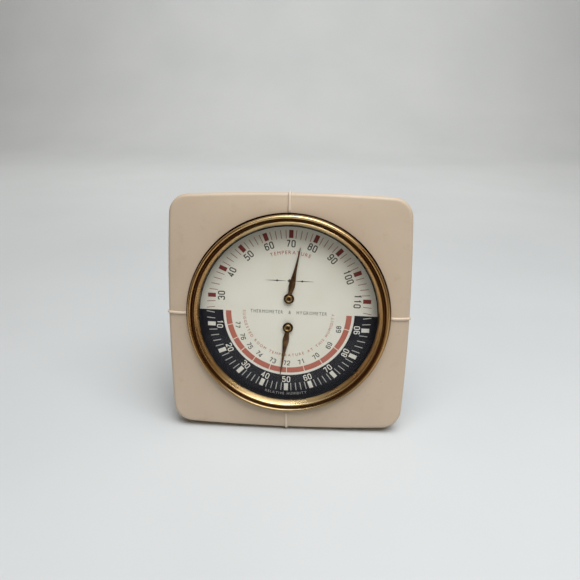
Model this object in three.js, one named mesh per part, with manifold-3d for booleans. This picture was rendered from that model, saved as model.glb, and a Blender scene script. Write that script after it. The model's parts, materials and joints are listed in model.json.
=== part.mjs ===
// Dial hygrometer with a thermometer on the same dial, standing on a desk.
// A moulded square case holds a round instrument: a steel can, a brass bezel with a glass crystal,
// one printed dial, and a movement with a bimetal coil and a humidity coil that each turn a pointer.
// Millimetres, +Z up. The dial looks along -Y and the origin is under the middle of the whole object.
// Inside the tilted group the face frame is used: +X right, +Y up the face, +Z out of the dial.
import * as THREE from "three";
import { mergeVertices } from "three/addons/utils/BufferGeometryUtils.js";
import Module from "manifold-3d";

const wasm = await Module();
wasm.setup();

// ---- driving dimensions ----
const LEAN = THREE.MathUtils.degToRad(10); // the face leans back by this much
const DIAL_TURN = THREE.MathUtils.degToRad(-1); // the instrument sits slightly clockwise in its case
const GAP = 0.3; // clearance between neighbouring pieces

// case
const CASE_HALF = 60; // half the width at the middle of a side
const CASE_BOW = 1.93; // how far each side bows out over its half length
const CASE_CORNER = 10; // corner radius
const CASE_DEPTH = 14; // from the bezel plane to the rear rim
const CASE_WALL = 2.4;
const CASE_FACE_Z = -GAP; // the bezel sits on this face
const CASE_EDGE_DROP = 1; // the face falls this much from the bezel to its edge
const CASE_EDGE_ROUND = 2; // radius where the face turns into the side
const CASE_DRAFT = 0.25; // the side draws in by this much at the rear rim

// facets
const SIDE_STEPS = 8; // along one side of the case
const CORNER_STEPS = 5; // round one corner of the case
const ROUND_STEPS = 44; // round the can, the bezel and what is inside them
const SMALL_STEPS = 10; // round screws, posts and drilled holes
const PLATE_CURVE_STEPS = 4; // round a plate's corner
const WIRE_STEPS = 48; // along the stand's wire
const RIB_WIDTH = 1.35;
const RIB_HEIGHT = 0.75;
const RIB_SIDE = 3.2; // how far a rib runs down the side
const BOSS_RADIUS = 3.2;
const BOSS_AT = 49;
const BOSSES = [[BOSS_AT, BOSS_AT], [-BOSS_AT, BOSS_AT], [-BOSS_AT, -BOSS_AT], [BOSS_AT, -BOSS_AT]];
const PANEL_THICK = 1.4;
const PANEL_FRONT_Z = -11.2;

// can
const CAN_OUTER = 47.8;
const CAN_WALL = 0.6;
const CAN_BACK_Z = -24;
const CAN_BACK_THICK = 0.8;
const CAN_HOLE = CAN_OUTER + 0.8; // hole in the case and in the back panel
const VENT_RADIUS = 1.9;
const VENT_RING = 33;
const VENTS = 10;
const CLIP_ANGLES = [90, 210, 330];
const CLIP_WIDTH = 9;
const CLIP_THICK = 0.8;
const CLIP_SCREW_Z = -7.2;

// bezel, crystal and dial
const BEZEL_RADIUS = 50.7; // the flange that lies on the case
const BEZEL_APERTURE = 44.4;
const CRYSTAL_RADIUS = 46.3;
const CRYSTAL_FRONT_Z = -1.4;
const CRYSTAL_THICK = 2;
const DIAL_RADIUS = 46.8;
const DIAL_Z = -7;
const DIAL_THICK = 0.8;

// movement
const PIVOT = 7.5; // the two pointers turn this far above and below the dial's centre
const SPINDLE_RADIUS = 0.9;
const BORE = SPINDLE_RADIUS + GAP;
const SPINDLE_FRONT_Z = -4.6;
const SPINDLE_BACK_Z = -19.2;
const PLATE_FRONT_Z = -9.4;
const PLATE_THICK = 1.2;
const BRIDGE_FRONT_Z = -18;
const BRIDGE_THICK = 1.2;
const BUSH_OUTER = 2.1;
const BUSH_HOLE = BUSH_OUTER + GAP;
const REGULATOR_Z = -10.9;
const REGULATOR_THICK = 1;
const REGULATOR_REACH = 17;
const STUD_RADIUS = 0.5;
const STUD_AT = 7.3; // from the spindle
const COIL_FRONT_Z = -12.7;
const COIL_WIDTH = 3;
const COIL_STRIP = 0.4;
const COIL_INNER = 2.6;
const COIL_OUTER = 6.3;
const COIL_TURNS = 4;
const POSTS = [[-26, 14], [26, 14], [0, -29]];
const POST_RADIUS = 2.5;
const PILLAR_RADIUS = 2.2;
const PILLAR_AT = 18; // above and below the dial's centre
const SCREW_SHANK = 0.9;
const TAPPED = SCREW_SHANK + GAP;

// pointers
const POINTER_LENGTH = 26.3;
const POINTER_Z = -6.45;
const POINTER_SHEET = 0.25;
const POINTER_FOLD = 0.24; // height of the ridge over half the width
const POINTER_ROOT = 2.5; // radius of the disc around the spindle
const POINTER_STATIONS = [ // distance from the spindle and half width
  [2, 0.9],
  [4, 1.25],
  [6.9, 1.58],
  [11, 1.15],
  [16.5, 0.6],
  [20, 0.47],
  [POINTER_LENGTH, 0.15],
];
const TEMPERATURE_ANGLE = THREE.MathUtils.degToRad(90 - 10.6); // 74.7 degrees on the scale
const HUMIDITY_ANGLE = THREE.MathUtils.degToRad(-90 - 7.1); // 46.8 per cent on the scale

// stand
const HINGE_Y = 8;
const HINGE_Z = -27.5;
const WIRE_RADIUS = 1.2;
const STAND_TOP_HALF = 24;
const STAND_FOOT_HALF = 31;
const STAND_BEND = 5;
const STAND_OPEN = THREE.MathUtils.degToRad(26); // swing from folded flat to standing
const SLEEVE_RADIUS = 2.5;
// along the face, from the rim that stands on the table
const HINGE_ABOVE_RIM = HINGE_Y + CASE_HALF - CASE_DRAFT;
const HINGE_HEIGHT = HINGE_ABOVE_RIM * Math.cos(LEAN) + (HINGE_Z + CASE_DEPTH) * Math.sin(LEAN);
const STAND_LENGTH = (HINGE_HEIGHT - SLEEVE_RADIUS) / Math.cos(STAND_OPEN - LEAN); // hinge to foot bar
const SLEEVE_LENGTH = 40;
const BRACKET_HALF = 20;
const BRACKET_SHEET = 1;
const RIVET_AT = 10;

// ---- materials ----
function material(colour, roughness, metalness) {
  return new THREE.MeshStandardMaterial({ color: colour, roughness, metalness });
}

const beigePlastic = () => material(0xb8a894, 0.55, 0);
const brass = () => material(0xb08d4c, 0.28, 1);
const bronze = () => material(0x5c4326, 0.4, 1);
const steel = () => material(0x9a9a96, 0.4, 1);
const rubber = () => material(0x1c1c1c, 0.8, 0);
const enamel = () => material(0xd6d0bc, 0.6, 0);
const bimetal = () => material(0x8a7a5c, 0.35, 1);
const fibre = () => material(0x4a3a2c, 0.85, 0);
function glass() {
  const clear = material(0xf4f8f6, 0.05, 0);
  clear.transparent = true;
  clear.opacity = 0.3;
  return clear;
}

// ---- geometry helpers ----
// Merged vertices, and faces that point out whichever way a profile was drawn.
function closed(geometry) {
  const bare = geometry.clone();
  bare.deleteAttribute("normal");
  bare.deleteAttribute("uv");
  const merged = mergeVertices(bare, 1e-4);
  const p = merged.attributes.position;
  const index = Array.from(merged.index.array);
  const kept = [];
  for (let i = 0; i < index.length; i += 3) {
    const [a, b, c] = [index[i], index[i + 1], index[i + 2]];
    if (a !== b && b !== c && c !== a) kept.push(a, b, c);
  }
  const [va, vb, vc] = [new THREE.Vector3(), new THREE.Vector3(), new THREE.Vector3()];
  let volume = 0;
  for (let i = 0; i < kept.length; i += 3) {
    va.fromBufferAttribute(p, kept[i]);
    vb.fromBufferAttribute(p, kept[i + 1]);
    vc.fromBufferAttribute(p, kept[i + 2]);
    volume += va.dot(vb.cross(vc));
  }
  if (volume < 0) kept.reverse();
  merged.setIndex(kept);
  return merged;
}

function toSolid(geometry) {
  const merged = closed(geometry);
  return new wasm.Manifold(new wasm.Mesh({
    numProp: 3,
    vertProperties: new Float32Array(merged.attributes.position.array),
    triVerts: new Uint32Array(merged.index.array),
  }));
}

function toGeometry(solid) {
  const mesh = solid.getMesh();
  const geometry = new THREE.BufferGeometry();
  geometry.setAttribute("position", new THREE.BufferAttribute(new Float32Array(mesh.vertProperties), 3));
  geometry.setIndex(Array.from(mesh.triVerts));
  return geometry;
}

function combine(base, added, removed) {
  let solid = toSolid(base);
  for (const piece of added) solid = solid.add(toSolid(piece));
  for (const piece of removed) solid = solid.subtract(toSolid(piece));
  return toGeometry(solid);
}

// A round solid about the Z axis from [radius, z] points.
function turned(points, segments) {
  const profile = points.map(([r, z]) => new THREE.Vector2(r, z));
  return new THREE.LatheGeometry(profile, segments).rotateX(Math.PI / 2);
}

function ring(inner, outer, back, front, segments) {
  return turned([[inner, back], [outer, back], [outer, front], [inner, front], [inner, back]], segments);
}

function pin(radius, back, front, segments, x = 0, y = 0) {
  const geometry = new THREE.CylinderGeometry(radius, radius, front - back, segments).rotateX(Math.PI / 2);
  return geometry.translate(x, y, (front + back) / 2);
}

// A drill along X through a thin wall at (x, y, z).
function crossDrill(radius, x, y, z) {
  return new THREE.CylinderGeometry(radius, radius, 4, SMALL_STEPS).rotateZ(Math.PI / 2).translate(x, y, z);
}

function plate(shape, back, front) {
  const options = { depth: front - back, bevelEnabled: false, curveSegments: PLATE_CURVE_STEPS };
  return new THREE.ExtrudeGeometry(shape, options).translate(0, 0, back);
}

// Points on an arc about (x, y), leaving out the last one because the next arc starts there.
function arcPoints(x, y, radius, from, to, steps) {
  const points = [];
  for (let i = 0; i < steps; i += 1) {
    const angle = from + ((to - from) * i) / steps;
    points.push(new THREE.Vector2(x + radius * Math.cos(angle), y + radius * Math.sin(angle)));
  }
  return points;
}

function hole(shape, x, y, radius, segments = 10) {
  shape.holes.push(new THREE.Path(arcPoints(x, y, radius, 0, 2 * Math.PI, segments)));
}

function roundedRectangle(left, right, bottom, top, radius) {
  const shape = new THREE.Shape();
  shape.moveTo(left + radius, bottom);
  shape.lineTo(right - radius, bottom);
  shape.absarc(right - radius, bottom + radius, radius, -Math.PI / 2, 0, false);
  shape.lineTo(right, top - radius);
  shape.absarc(right - radius, top - radius, radius, 0, Math.PI / 2, false);
  shape.lineTo(left + radius, top);
  shape.absarc(left + radius, top - radius, radius, Math.PI / 2, Math.PI, false);
  shape.lineTo(left, bottom + radius);
  shape.absarc(left + radius, bottom + radius, radius, Math.PI, 1.5 * Math.PI, false);
  return shape;
}

// A closed skin through rings of points, each ring joined to the next.
// With wrap the last ring meets the first, otherwise both end rings are capped.
function loft(rings, wrap) {
  const count = rings[0].length;
  const positions = rings.flat().flatMap((v) => [v.x, v.y, v.z]);
  const index = [];
  const joins = wrap ? rings.length : rings.length - 1;
  for (let r = 0; r < joins; r += 1) {
    const here = r * count;
    const next = ((r + 1) % rings.length) * count;
    for (let i = 0; i < count; i += 1) {
      const j = (i + 1) % count;
      index.push(here + i, here + j, next + j, here + i, next + j, next + i);
    }
  }
  if (!wrap) {
    const last = (rings.length - 1) * count;
    for (let i = 1; i < count - 1; i += 1) {
      index.push(0, i + 1, i, last, last + i, last + i + 1);
    }
  }
  const geometry = new THREE.BufferGeometry();
  geometry.setAttribute("position", new THREE.Float32BufferAttribute(positions, 3));
  geometry.setIndex(index);
  return geometry;
}

function named(name, geometry, itsMaterial) {
  const mesh = new THREE.Mesh(closed(geometry), itsMaterial);
  mesh.name = name;
  return mesh;
}

// ---- case outline: four bowed sides and four round corners ----
const SIDE_RADIUS = CASE_HALF ** 2 / (2 * CASE_BOW) + CASE_BOW / 2;
const SIDE_CENTRE = CASE_HALF - SIDE_RADIUS;
const CORNER_REACH = SIDE_RADIUS - CASE_CORNER; // from a side arc's centre to a corner arc's centre
const CORNER_CENTRE = (SIDE_CENTRE + Math.sqrt(2 * CORNER_REACH ** 2 - SIDE_CENTRE ** 2)) / 2;
const SIDE_SPAN = Math.atan2(CORNER_CENTRE, CORNER_CENTRE - SIDE_CENTRE);

function outline(inset) {
  const centre = new THREE.Vector2();
  const side = arcPoints(SIDE_CENTRE, 0, SIDE_RADIUS - inset, -SIDE_SPAN, SIDE_SPAN, SIDE_STEPS);
  const cornerEnd = Math.PI / 2 - SIDE_SPAN;
  const corner = arcPoints(
    CORNER_CENTRE, CORNER_CENTRE, CASE_CORNER - inset, SIDE_SPAN, cornerEnd, CORNER_STEPS,
  );
  const points = [];
  for (let quarter = 0; quarter < 4; quarter += 1) {
    const turn = (quarter * Math.PI) / 2;
    for (const point of [...side, ...corner]) points.push(point.clone().rotateAround(centre, turn));
  }
  return points;
}

function outlineRing(inset, z) {
  return outline(inset).map((p) => new THREE.Vector3(p.x, p.y, z));
}

function circleRing(radius, z) {
  return outline(0).map((p) => new THREE.Vector3(p.x, p.y, 0).setLength(radius).setZ(z));
}

// ---- case parts ----
const EDGE_Z = CASE_FACE_Z - CASE_EDGE_DROP;
const ROUND_END_Z = EDGE_Z - CASE_EDGE_ROUND;
const BORE_BACK_Z = CASE_FACE_Z - CASE_WALL;

// A rib seen from the side, as (distance from the centre, z): from the bezel over the edge.
function ribSolid(angle) {
  const side = CASE_HALF + RIB_HEIGHT;
  const root = 1.2; // how deep the rib's solid reaches into the wall
  const start = BEZEL_RADIUS + 0.3;
  const fade = ROUND_END_Z - RIB_SIDE;
  const shape = new THREE.Shape();
  shape.moveTo(start, CASE_FACE_Z - root);
  shape.lineTo(start, CASE_FACE_Z + 0.1);
  shape.lineTo(start + 0.6, CASE_FACE_Z + RIB_HEIGHT);
  shape.lineTo(CASE_HALF - CASE_EDGE_ROUND, EDGE_Z + RIB_HEIGHT);
  shape.quadraticCurveTo(side, EDGE_Z + RIB_HEIGHT, side, ROUND_END_Z);
  shape.lineTo(side, fade + root);
  shape.lineTo(CASE_HALF - 0.1, fade);
  shape.lineTo(CASE_HALF - root, fade);
  shape.lineTo(CASE_HALF - root, EDGE_Z - root);
  const rib = new THREE.ExtrudeGeometry(shape, { depth: RIB_WIDTH, bevelEnabled: false, curveSegments: 4 });
  rib.translate(0, 0, -RIB_WIDTH / 2).rotateX(Math.PI / 2);
  return rib.rotateZ(angle);
}

function frontCase() {
  const shell = loft([
    circleRing(CAN_HOLE, CASE_FACE_Z),
    circleRing(BEZEL_RADIUS + 0.6, CASE_FACE_Z),
    outlineRing(4.2, CASE_FACE_Z - 0.55),
    outlineRing(CASE_EDGE_ROUND, EDGE_Z),
    outlineRing(CASE_EDGE_ROUND * 0.5, EDGE_Z - CASE_EDGE_ROUND * 0.134),
    outlineRing(CASE_EDGE_ROUND * 0.134, EDGE_Z - CASE_EDGE_ROUND * 0.5),
    outlineRing(0, ROUND_END_Z),
    outlineRing(CASE_DRAFT, -CASE_DEPTH),
    outlineRing(CASE_DRAFT + CASE_WALL, -CASE_DEPTH),
    outlineRing(CASE_WALL + 0.2, BORE_BACK_Z - 2.2),
    outlineRing(CASE_WALL + 1.8, BORE_BACK_Z - 0.9),
    circleRing(BEZEL_RADIUS + 1.5, BORE_BACK_Z),
    circleRing(CAN_HOLE, BORE_BACK_Z),
  ], true);
  const added = [];
  const removed = [];
  for (let i = 0; i < 4; i += 1) added.push(ribSolid((i * Math.PI) / 2));
  for (const [x, y] of BOSSES) {
    added.push(pin(BOSS_RADIUS, PANEL_FRONT_Z + GAP, BORE_BACK_Z + 0.5, SMALL_STEPS, x, y));
    removed.push(pin(TAPPED, PANEL_FRONT_Z + GAP - 1, BORE_BACK_Z - 3, SMALL_STEPS, x, y));
  }
  return named("front_case", combine(shell, added, removed), beigePlastic());
}

function backPanel() {
  const shape = new THREE.Shape(outline(CASE_DRAFT + CASE_WALL + GAP + 0.1));
  hole(shape, 0, 0, CAN_HOLE, ROUND_STEPS);
  for (const [x, y] of BOSSES) hole(shape, x, y, TAPPED);
  return named("back_panel", plate(shape, PANEL_FRONT_Z - PANEL_THICK, PANEL_FRONT_Z), fibre());
}

// A screw along Z: the head's flat side is at headZ, and the shank runs from there towards direction.
function screwGeometry(headRadius, headHeight, headZ, length, direction) {
  const profile = [
    [0, headZ - direction * headHeight],
    [headRadius * 0.7, headZ - direction * headHeight],
    [headRadius, headZ - direction * headHeight * 0.5],
    [headRadius, headZ],
    [SCREW_SHANK, headZ],
    [SCREW_SHANK, headZ + direction * (length - 0.6)],
    [0, headZ + direction * length],
  ];
  const slot = new THREE.BoxGeometry(2.4 * headRadius, 0.5, 0.8);
  slot.translate(0, 0, headZ - direction * headHeight);
  return combine(turned(profile, SMALL_STEPS), [], [slot]);
}

function panelScrew(name, x, y) {
  const headZ = PANEL_FRONT_Z - PANEL_THICK - GAP;
  const mesh = named(name, screwGeometry(2.4, 1.1, headZ, 6.5, 1), steel());
  mesh.position.set(x, y, 0);
  return mesh;
}

// ---- can and what holds it ----
function movementCan() {
  const inner = CAN_OUTER - CAN_WALL;
  const floor = CAN_BACK_Z + CAN_BACK_THICK;
  const cup = turned([
    [0, CAN_BACK_Z],
    [CAN_OUTER - 1.6, CAN_BACK_Z],
    [CAN_OUTER - 0.5, CAN_BACK_Z + 0.5],
    [CAN_OUTER, CAN_BACK_Z + 1.6],
    [CAN_OUTER, -GAP],
    [inner, -GAP],
    [inner, floor + 0.9],
    [inner - 0.9, floor],
    [0, floor],
  ], ROUND_STEPS);
  const removed = [];
  for (let i = 0; i < VENTS; i += 1) {
    const angle = ((i + 0.5) / VENTS) * 2 * Math.PI;
    const [x, y] = [VENT_RING * Math.cos(angle), VENT_RING * Math.sin(angle)];
    removed.push(pin(VENT_RADIUS, CAN_BACK_Z - 1, floor + 1, 10, x, y));
  }
  for (const degrees of CLIP_ANGLES) {
    const drill = crossDrill(TAPPED, CAN_OUTER, 0, CLIP_SCREW_Z);
    removed.push(drill.rotateZ(THREE.MathUtils.degToRad(degrees)));
  }
  for (const x of [-RIVET_AT, RIVET_AT]) {
    removed.push(pin(TAPPED, CAN_BACK_Z - 1, floor + 1, 10, x, HINGE_Y));
  }
  return named("movement_can", combine(cup, [], removed), steel());
}

// An angle clip lies on the can's wall and presses on the inside of the case's face.
function caseClip(name, degrees) {
  const inside = CAN_OUTER + GAP;
  const top = BORE_BACK_Z - GAP;
  const shape = new THREE.Shape();
  shape.moveTo(inside, top);
  shape.lineTo(inside, CLIP_SCREW_Z - 2.4);
  shape.lineTo(inside + CLIP_THICK, CLIP_SCREW_Z - 2.4);
  shape.lineTo(inside + CLIP_THICK, top - CLIP_THICK);
  shape.lineTo(inside + 3.6, top - CLIP_THICK);
  shape.lineTo(inside + 3.6, top);
  const clip = new THREE.ExtrudeGeometry(shape, { depth: CLIP_WIDTH, bevelEnabled: false });
  clip.translate(0, 0, -CLIP_WIDTH / 2).rotateX(Math.PI / 2);
  const mesh = named(name, combine(clip, [], [crossDrill(TAPPED, inside, 0, CLIP_SCREW_Z)]), steel());
  mesh.rotation.z = THREE.MathUtils.degToRad(degrees);
  return mesh;
}

function clipScrew(name, degrees) {
  const seat = CAN_OUTER + GAP + CLIP_THICK + GAP + 0.1;
  const geometry = screwGeometry(1.8, 0.9, 0, 2, -1);
  geometry.rotateY(Math.PI / 2).translate(seat, 0, CLIP_SCREW_Z);
  const mesh = named(name, geometry, steel());
  mesh.rotation.z = THREE.MathUtils.degToRad(degrees);
  return mesh;
}

// ---- bezel, crystal, dial ----
function bezel() {
  return named("bezel", turned([
    [BEZEL_RADIUS, 0],
    [BEZEL_RADIUS, 0.3],
    [49.8, 0.45],
    [49.8, 1.5],
    [49.4, 2.5],
    [48.8, 3],
    [48.2, 2.7],
    [47.8, 1.6],
    [47.3, 1.1],
    [46.7, 1.2],
    [46.5, 2],
    [46.1, 2.3],
    [45.6, 1.9],
    [BEZEL_APERTURE, -0.7],
    [BEZEL_APERTURE, CRYSTAL_FRONT_Z + GAP],
    [CRYSTAL_RADIUS + 0.4, CRYSTAL_FRONT_Z + GAP],
    [CRYSTAL_RADIUS + 0.7, 0],
    [BEZEL_RADIUS, 0],
  ], ROUND_STEPS), brass());
}

function crystal() {
  const back = CRYSTAL_FRONT_Z - CRYSTAL_THICK;
  return named("crystal", turned([
    [0, back],
    [CRYSTAL_RADIUS, back],
    [CRYSTAL_RADIUS, CRYSTAL_FRONT_Z - 0.4],
    [CRYSTAL_RADIUS - 0.4, CRYSTAL_FRONT_Z],
    [0, CRYSTAL_FRONT_Z],
  ], ROUND_STEPS), glass());
}

function crystalGasket() {
  const front = CRYSTAL_FRONT_Z - CRYSTAL_THICK - GAP;
  return named("crystal_gasket", ring(45.5, 46.7, front - 0.7, front, ROUND_STEPS), rubber());
}

function dialSpacer() {
  const front = CRYSTAL_FRONT_Z - CRYSTAL_THICK - 2 * GAP - 0.7;
  return named("dial_spacer_ring", ring(45.8, 46.9, DIAL_Z + GAP, front, ROUND_STEPS), rubber());
}

function dialPlate() {
  const shape = new THREE.Shape(arcPoints(0, 0, DIAL_RADIUS, 0, 2 * Math.PI, ROUND_STEPS));
  hole(shape, 0, PIVOT, 2);
  hole(shape, 0, -PIVOT, 2);
  return named("dial_plate", plate(shape, DIAL_Z - DIAL_THICK, DIAL_Z), enamel());
}

function dialFoot(name, x) {
  const front = DIAL_Z - DIAL_THICK - GAP;
  return named(name, pin(0.9, front - 4, front, 10, x, -4), brass());
}

// ---- movement ----
function movementPlate() {
  const shape = roundedRectangle(-31, 31, -34, 20, 8);
  for (const y of [PIVOT, -PIVOT]) hole(shape, 0, y, BUSH_HOLE);
  for (const [x, y] of POSTS) hole(shape, x, y, TAPPED, 10);
  for (const x of [-20, 20]) hole(shape, x, -4, 0.9 + GAP, 10);
  return named("movement_plate", plate(shape, PLATE_FRONT_Z - PLATE_THICK, PLATE_FRONT_Z), steel());
}

// A round post with a tapped hole in the end at open.
function tappedPost(radius, shut, open, depth) {
  const bottom = open - Math.sign(open - shut) * depth;
  const profile = [[0, shut], [radius, shut], [radius, open], [TAPPED, open], [TAPPED, bottom], [0, bottom]];
  return turned(profile, SMALL_STEPS);
}

function movementPost(name, x, y) {
  const front = PLATE_FRONT_Z - PLATE_THICK - GAP;
  const back = CAN_BACK_Z + CAN_BACK_THICK + GAP;
  const mesh = named(name, tappedPost(POST_RADIUS, back, front, 5), brass());
  mesh.position.set(x, y, 0);
  return mesh;
}

function movementScrew(name, x, y) {
  const mesh = named(name, screwGeometry(2.1, 1, PLATE_FRONT_Z + GAP, 6, -1), steel());
  mesh.position.set(x, y, 0);
  return mesh;
}

function rearBridge() {
  const shape = roundedRectangle(-5.5, 5.5, -22, 22, 5);
  for (const y of [PIVOT, -PIVOT]) hole(shape, 0, y, BUSH_HOLE);
  for (const y of [PILLAR_AT, -PILLAR_AT]) hole(shape, 0, y, TAPPED, 10);
  return named("rear_bridge", plate(shape, BRIDGE_FRONT_Z - BRIDGE_THICK, BRIDGE_FRONT_Z), brass());
}

function bridgePillar(name, y) {
  const front = PLATE_FRONT_Z - PLATE_THICK - GAP;
  const back = BRIDGE_FRONT_Z + GAP;
  const mesh = named(name, tappedPost(PILLAR_RADIUS, front, back, 4.5), brass());
  mesh.position.set(0, y, 0);
  return mesh;
}

function bridgeScrew(name, y) {
  const headZ = BRIDGE_FRONT_Z - BRIDGE_THICK - GAP;
  const mesh = named(name, screwGeometry(2.1, 1, headZ, 5.5, 1), steel());
  mesh.position.set(0, y, 0);
  return mesh;
}

// ---- one sensing unit: spindle, pointer, coil, regulator ----
function bush(name, back, front) {
  return named(name, ring(BORE, BUSH_OUTER, back, front, 14), brass());
}

function spindle(name) {
  return named(name, turned([
    [0, SPINDLE_BACK_Z],
    [SPINDLE_RADIUS, SPINDLE_BACK_Z + 0.3],
    [SPINDLE_RADIUS, SPINDLE_FRONT_Z - 0.2],
    [SPINDLE_RADIUS - 0.2, SPINDLE_FRONT_Z],
    [0, SPINDLE_FRONT_Z],
  ], 12), steel());
}

function pointerHub(name) {
  return named(name, turned([
    [BORE, -5.9],
    [2.65, -5.9],
    [2.65, -5.35],
    [1.85, -5.3],
    [1.75, -4.75],
    [BORE, -4.7],
    [BORE, -5.9],
  ], 20), brass());
}

// A folded lance: a ridge along the middle and a flat root disc around the spindle.
function pointer(name, angle) {
  const rings = POINTER_STATIONS.map(([reach, half]) => {
    const ridge = half * POINTER_FOLD;
    const under = [[-half, 0], [0, ridge], [half, 0]];
    const over = under.map(([across, z]) => [across, z + POINTER_SHEET]).reverse();
    return [...under, ...over].map(([across, z]) => new THREE.Vector3(reach, across, POINTER_Z + z));
  });
  const root = ring(BORE, POINTER_ROOT, POINTER_Z, POINTER_Z + POINTER_SHEET, 14);
  const mesh = named(name, combine(loft(rings, false), [root], []), bronze());
  mesh.rotation.z = angle;
  return mesh;
}

function coilCollet(name) {
  return named(name, ring(BORE, COIL_INNER - COIL_STRIP / 2 - GAP, COIL_FRONT_Z - COIL_WIDTH - 0.2,
    COIL_FRONT_Z + 0.1, 12), brass());
}

// A spiral strip from the collet out to the stud.
function coil(name, studAngle) {
  const steps = COIL_TURNS * 14;
  const edge = (offset) => {
    const points = [];
    for (let i = 0; i <= steps; i += 1) {
      const radius = COIL_INNER + ((COIL_OUTER - COIL_INNER) * i) / steps + offset;
      const angle = studAngle - ((steps - i) / steps) * COIL_TURNS * 2 * Math.PI;
      points.push(new THREE.Vector2(radius * Math.cos(angle), radius * Math.sin(angle)));
    }
    return points;
  };
  const shape = new THREE.Shape([...edge(COIL_STRIP / 2), ...edge(-COIL_STRIP / 2).reverse()]);
  return named(name, plate(shape, COIL_FRONT_Z - COIL_WIDTH, COIL_FRONT_Z), bimetal());
}

function regulator(name, angle) {
  const arm = roundedRectangle(BUSH_HOLE + 0.6, REGULATOR_REACH, -1.6, 1.6, 1.5);
  const back = REGULATOR_Z - REGULATOR_THICK;
  const collar = ring(BUSH_HOLE, 4.2, back, REGULATOR_Z, 16);
  const mesh = named(name, combine(plate(arm, back, REGULATOR_Z), [collar], []), brass());
  mesh.rotation.z = angle;
  return mesh;
}

function coilStud(name, angle) {
  const front = REGULATOR_Z - REGULATOR_THICK - GAP;
  const geometry = pin(STUD_RADIUS, COIL_FRONT_Z - COIL_WIDTH, front, 8);
  const mesh = named(name, geometry, brass());
  mesh.position.set(STUD_AT * Math.cos(angle), STUD_AT * Math.sin(angle), 0);
  return mesh;
}

function sensingUnit(word, y, pointerAngle, studAngle) {
  const unit = new THREE.Group();
  unit.position.set(0, y, 0);
  const frontBack = REGULATOR_Z - REGULATOR_THICK - GAP;
  unit.add(
    bush(`${word}_front_bush`, frontBack, PLATE_FRONT_Z + 0.4),
    bush(`${word}_rear_bush`, BRIDGE_FRONT_Z - BRIDGE_THICK - 0.2, BRIDGE_FRONT_Z + 0.2),
    spindle(`${word}_spindle`),
    pointerHub(`${word}_pointer_hub`),
    pointer(`${word}_pointer`, pointerAngle),
    coilCollet(`${word}_coil_collet`),
    coil(`${word}_coil`, studAngle),
    regulator(`${word}_regulator`, studAngle),
    coilStud(`${word}_coil_stud`, studAngle),
  );
  return unit;
}

// ---- stand ----
function standBracket() {
  const front = CAN_BACK_Z - GAP;
  const shape = new THREE.Shape();
  const earZ = HINGE_Z - 3;
  shape.moveTo(-BRACKET_HALF, front);
  shape.lineTo(-BRACKET_HALF, earZ);
  shape.lineTo(-BRACKET_HALF + BRACKET_SHEET, earZ);
  shape.lineTo(-BRACKET_HALF + BRACKET_SHEET, front - BRACKET_SHEET);
  shape.lineTo(BRACKET_HALF - BRACKET_SHEET, front - BRACKET_SHEET);
  shape.lineTo(BRACKET_HALF - BRACKET_SHEET, earZ);
  shape.lineTo(BRACKET_HALF, earZ);
  shape.lineTo(BRACKET_HALF, front);
  const channel = new THREE.ExtrudeGeometry(shape, { depth: 10, bevelEnabled: false });
  channel.translate(0, 0, -5).rotateX(Math.PI / 2).translate(0, HINGE_Y, 0);
  const removed = [];
  for (const side of [-1, 1]) {
    removed.push(crossDrill(WIRE_RADIUS + GAP, side * BRACKET_HALF, HINGE_Y, HINGE_Z));
    removed.push(pin(TAPPED, front - 3, front + 1, 10, side * RIVET_AT, HINGE_Y));
  }
  return named("stand_bracket", combine(channel, [], removed), steel());
}

function bracketRivet(name, x) {
  const headZ = CAN_BACK_Z - GAP - BRACKET_SHEET - GAP;
  const tailZ = CAN_BACK_Z + CAN_BACK_THICK + GAP;
  const mesh = named(name, turned([
    [0, headZ - 1],
    [1.4, headZ - 0.8],
    [2.1, headZ],
    [SCREW_SHANK, headZ],
    [SCREW_SHANK, tailZ],
    [1.9, tailZ],
    [1.6, tailZ + 0.6],
    [0, tailZ + 0.7],
  ], 10), steel());
  mesh.position.set(x, HINGE_Y, 0);
  return mesh;
}

// The wire as it hangs straight down from the hinge, in a plane; the hinge is the local origin.
function standPath() {
  const corner = (x, y) => new THREE.Vector3(x, y, 0);
  const start = BRACKET_HALF - 3;
  const path = new THREE.CurvePath();
  const along = new THREE.Vector3(STAND_FOOT_HALF - STAND_TOP_HALF, -STAND_LENGTH, 0).normalize();
  for (const side of [-1, 1]) {
    const top = corner(side * STAND_TOP_HALF, 0);
    const foot = corner(side * STAND_FOOT_HALF, -STAND_LENGTH);
    const step = along.clone().setX(side * along.x).multiplyScalar(STAND_BEND);
    const inTop = corner(side * (STAND_TOP_HALF - STAND_BEND), 0);
    const inFoot = corner(side * (STAND_FOOT_HALF - STAND_BEND), -STAND_LENGTH);
    const pieces = [
      [corner(side * start, 0), inTop],
      [inTop, top, top.clone().add(step)],
      [top.clone().add(step), foot.clone().sub(step)],
      [foot.clone().sub(step), foot, inFoot],
    ];
    if (side === 1) pieces.reverse();
    if (side === 1) path.add(new THREE.LineCurve3(path.curves.at(-1).getPoint(1), pieces[0].at(-1)));
    for (const piece of pieces) {
      const points = side === 1 ? [...piece].reverse() : piece;
      const Curve = points.length === 2 ? THREE.LineCurve3 : THREE.QuadraticBezierCurve3;
      path.add(new Curve(...points));
    }
  }
  return path;
}

function standWire() {
  const section = new THREE.Shape(arcPoints(0, 0, WIRE_RADIUS, 0, 2 * Math.PI, 8));
  const options = { steps: WIRE_STEPS, extrudePath: standPath(), bevelEnabled: false };
  return named("stand_wire", new THREE.ExtrudeGeometry(section, options), steel());
}

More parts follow.
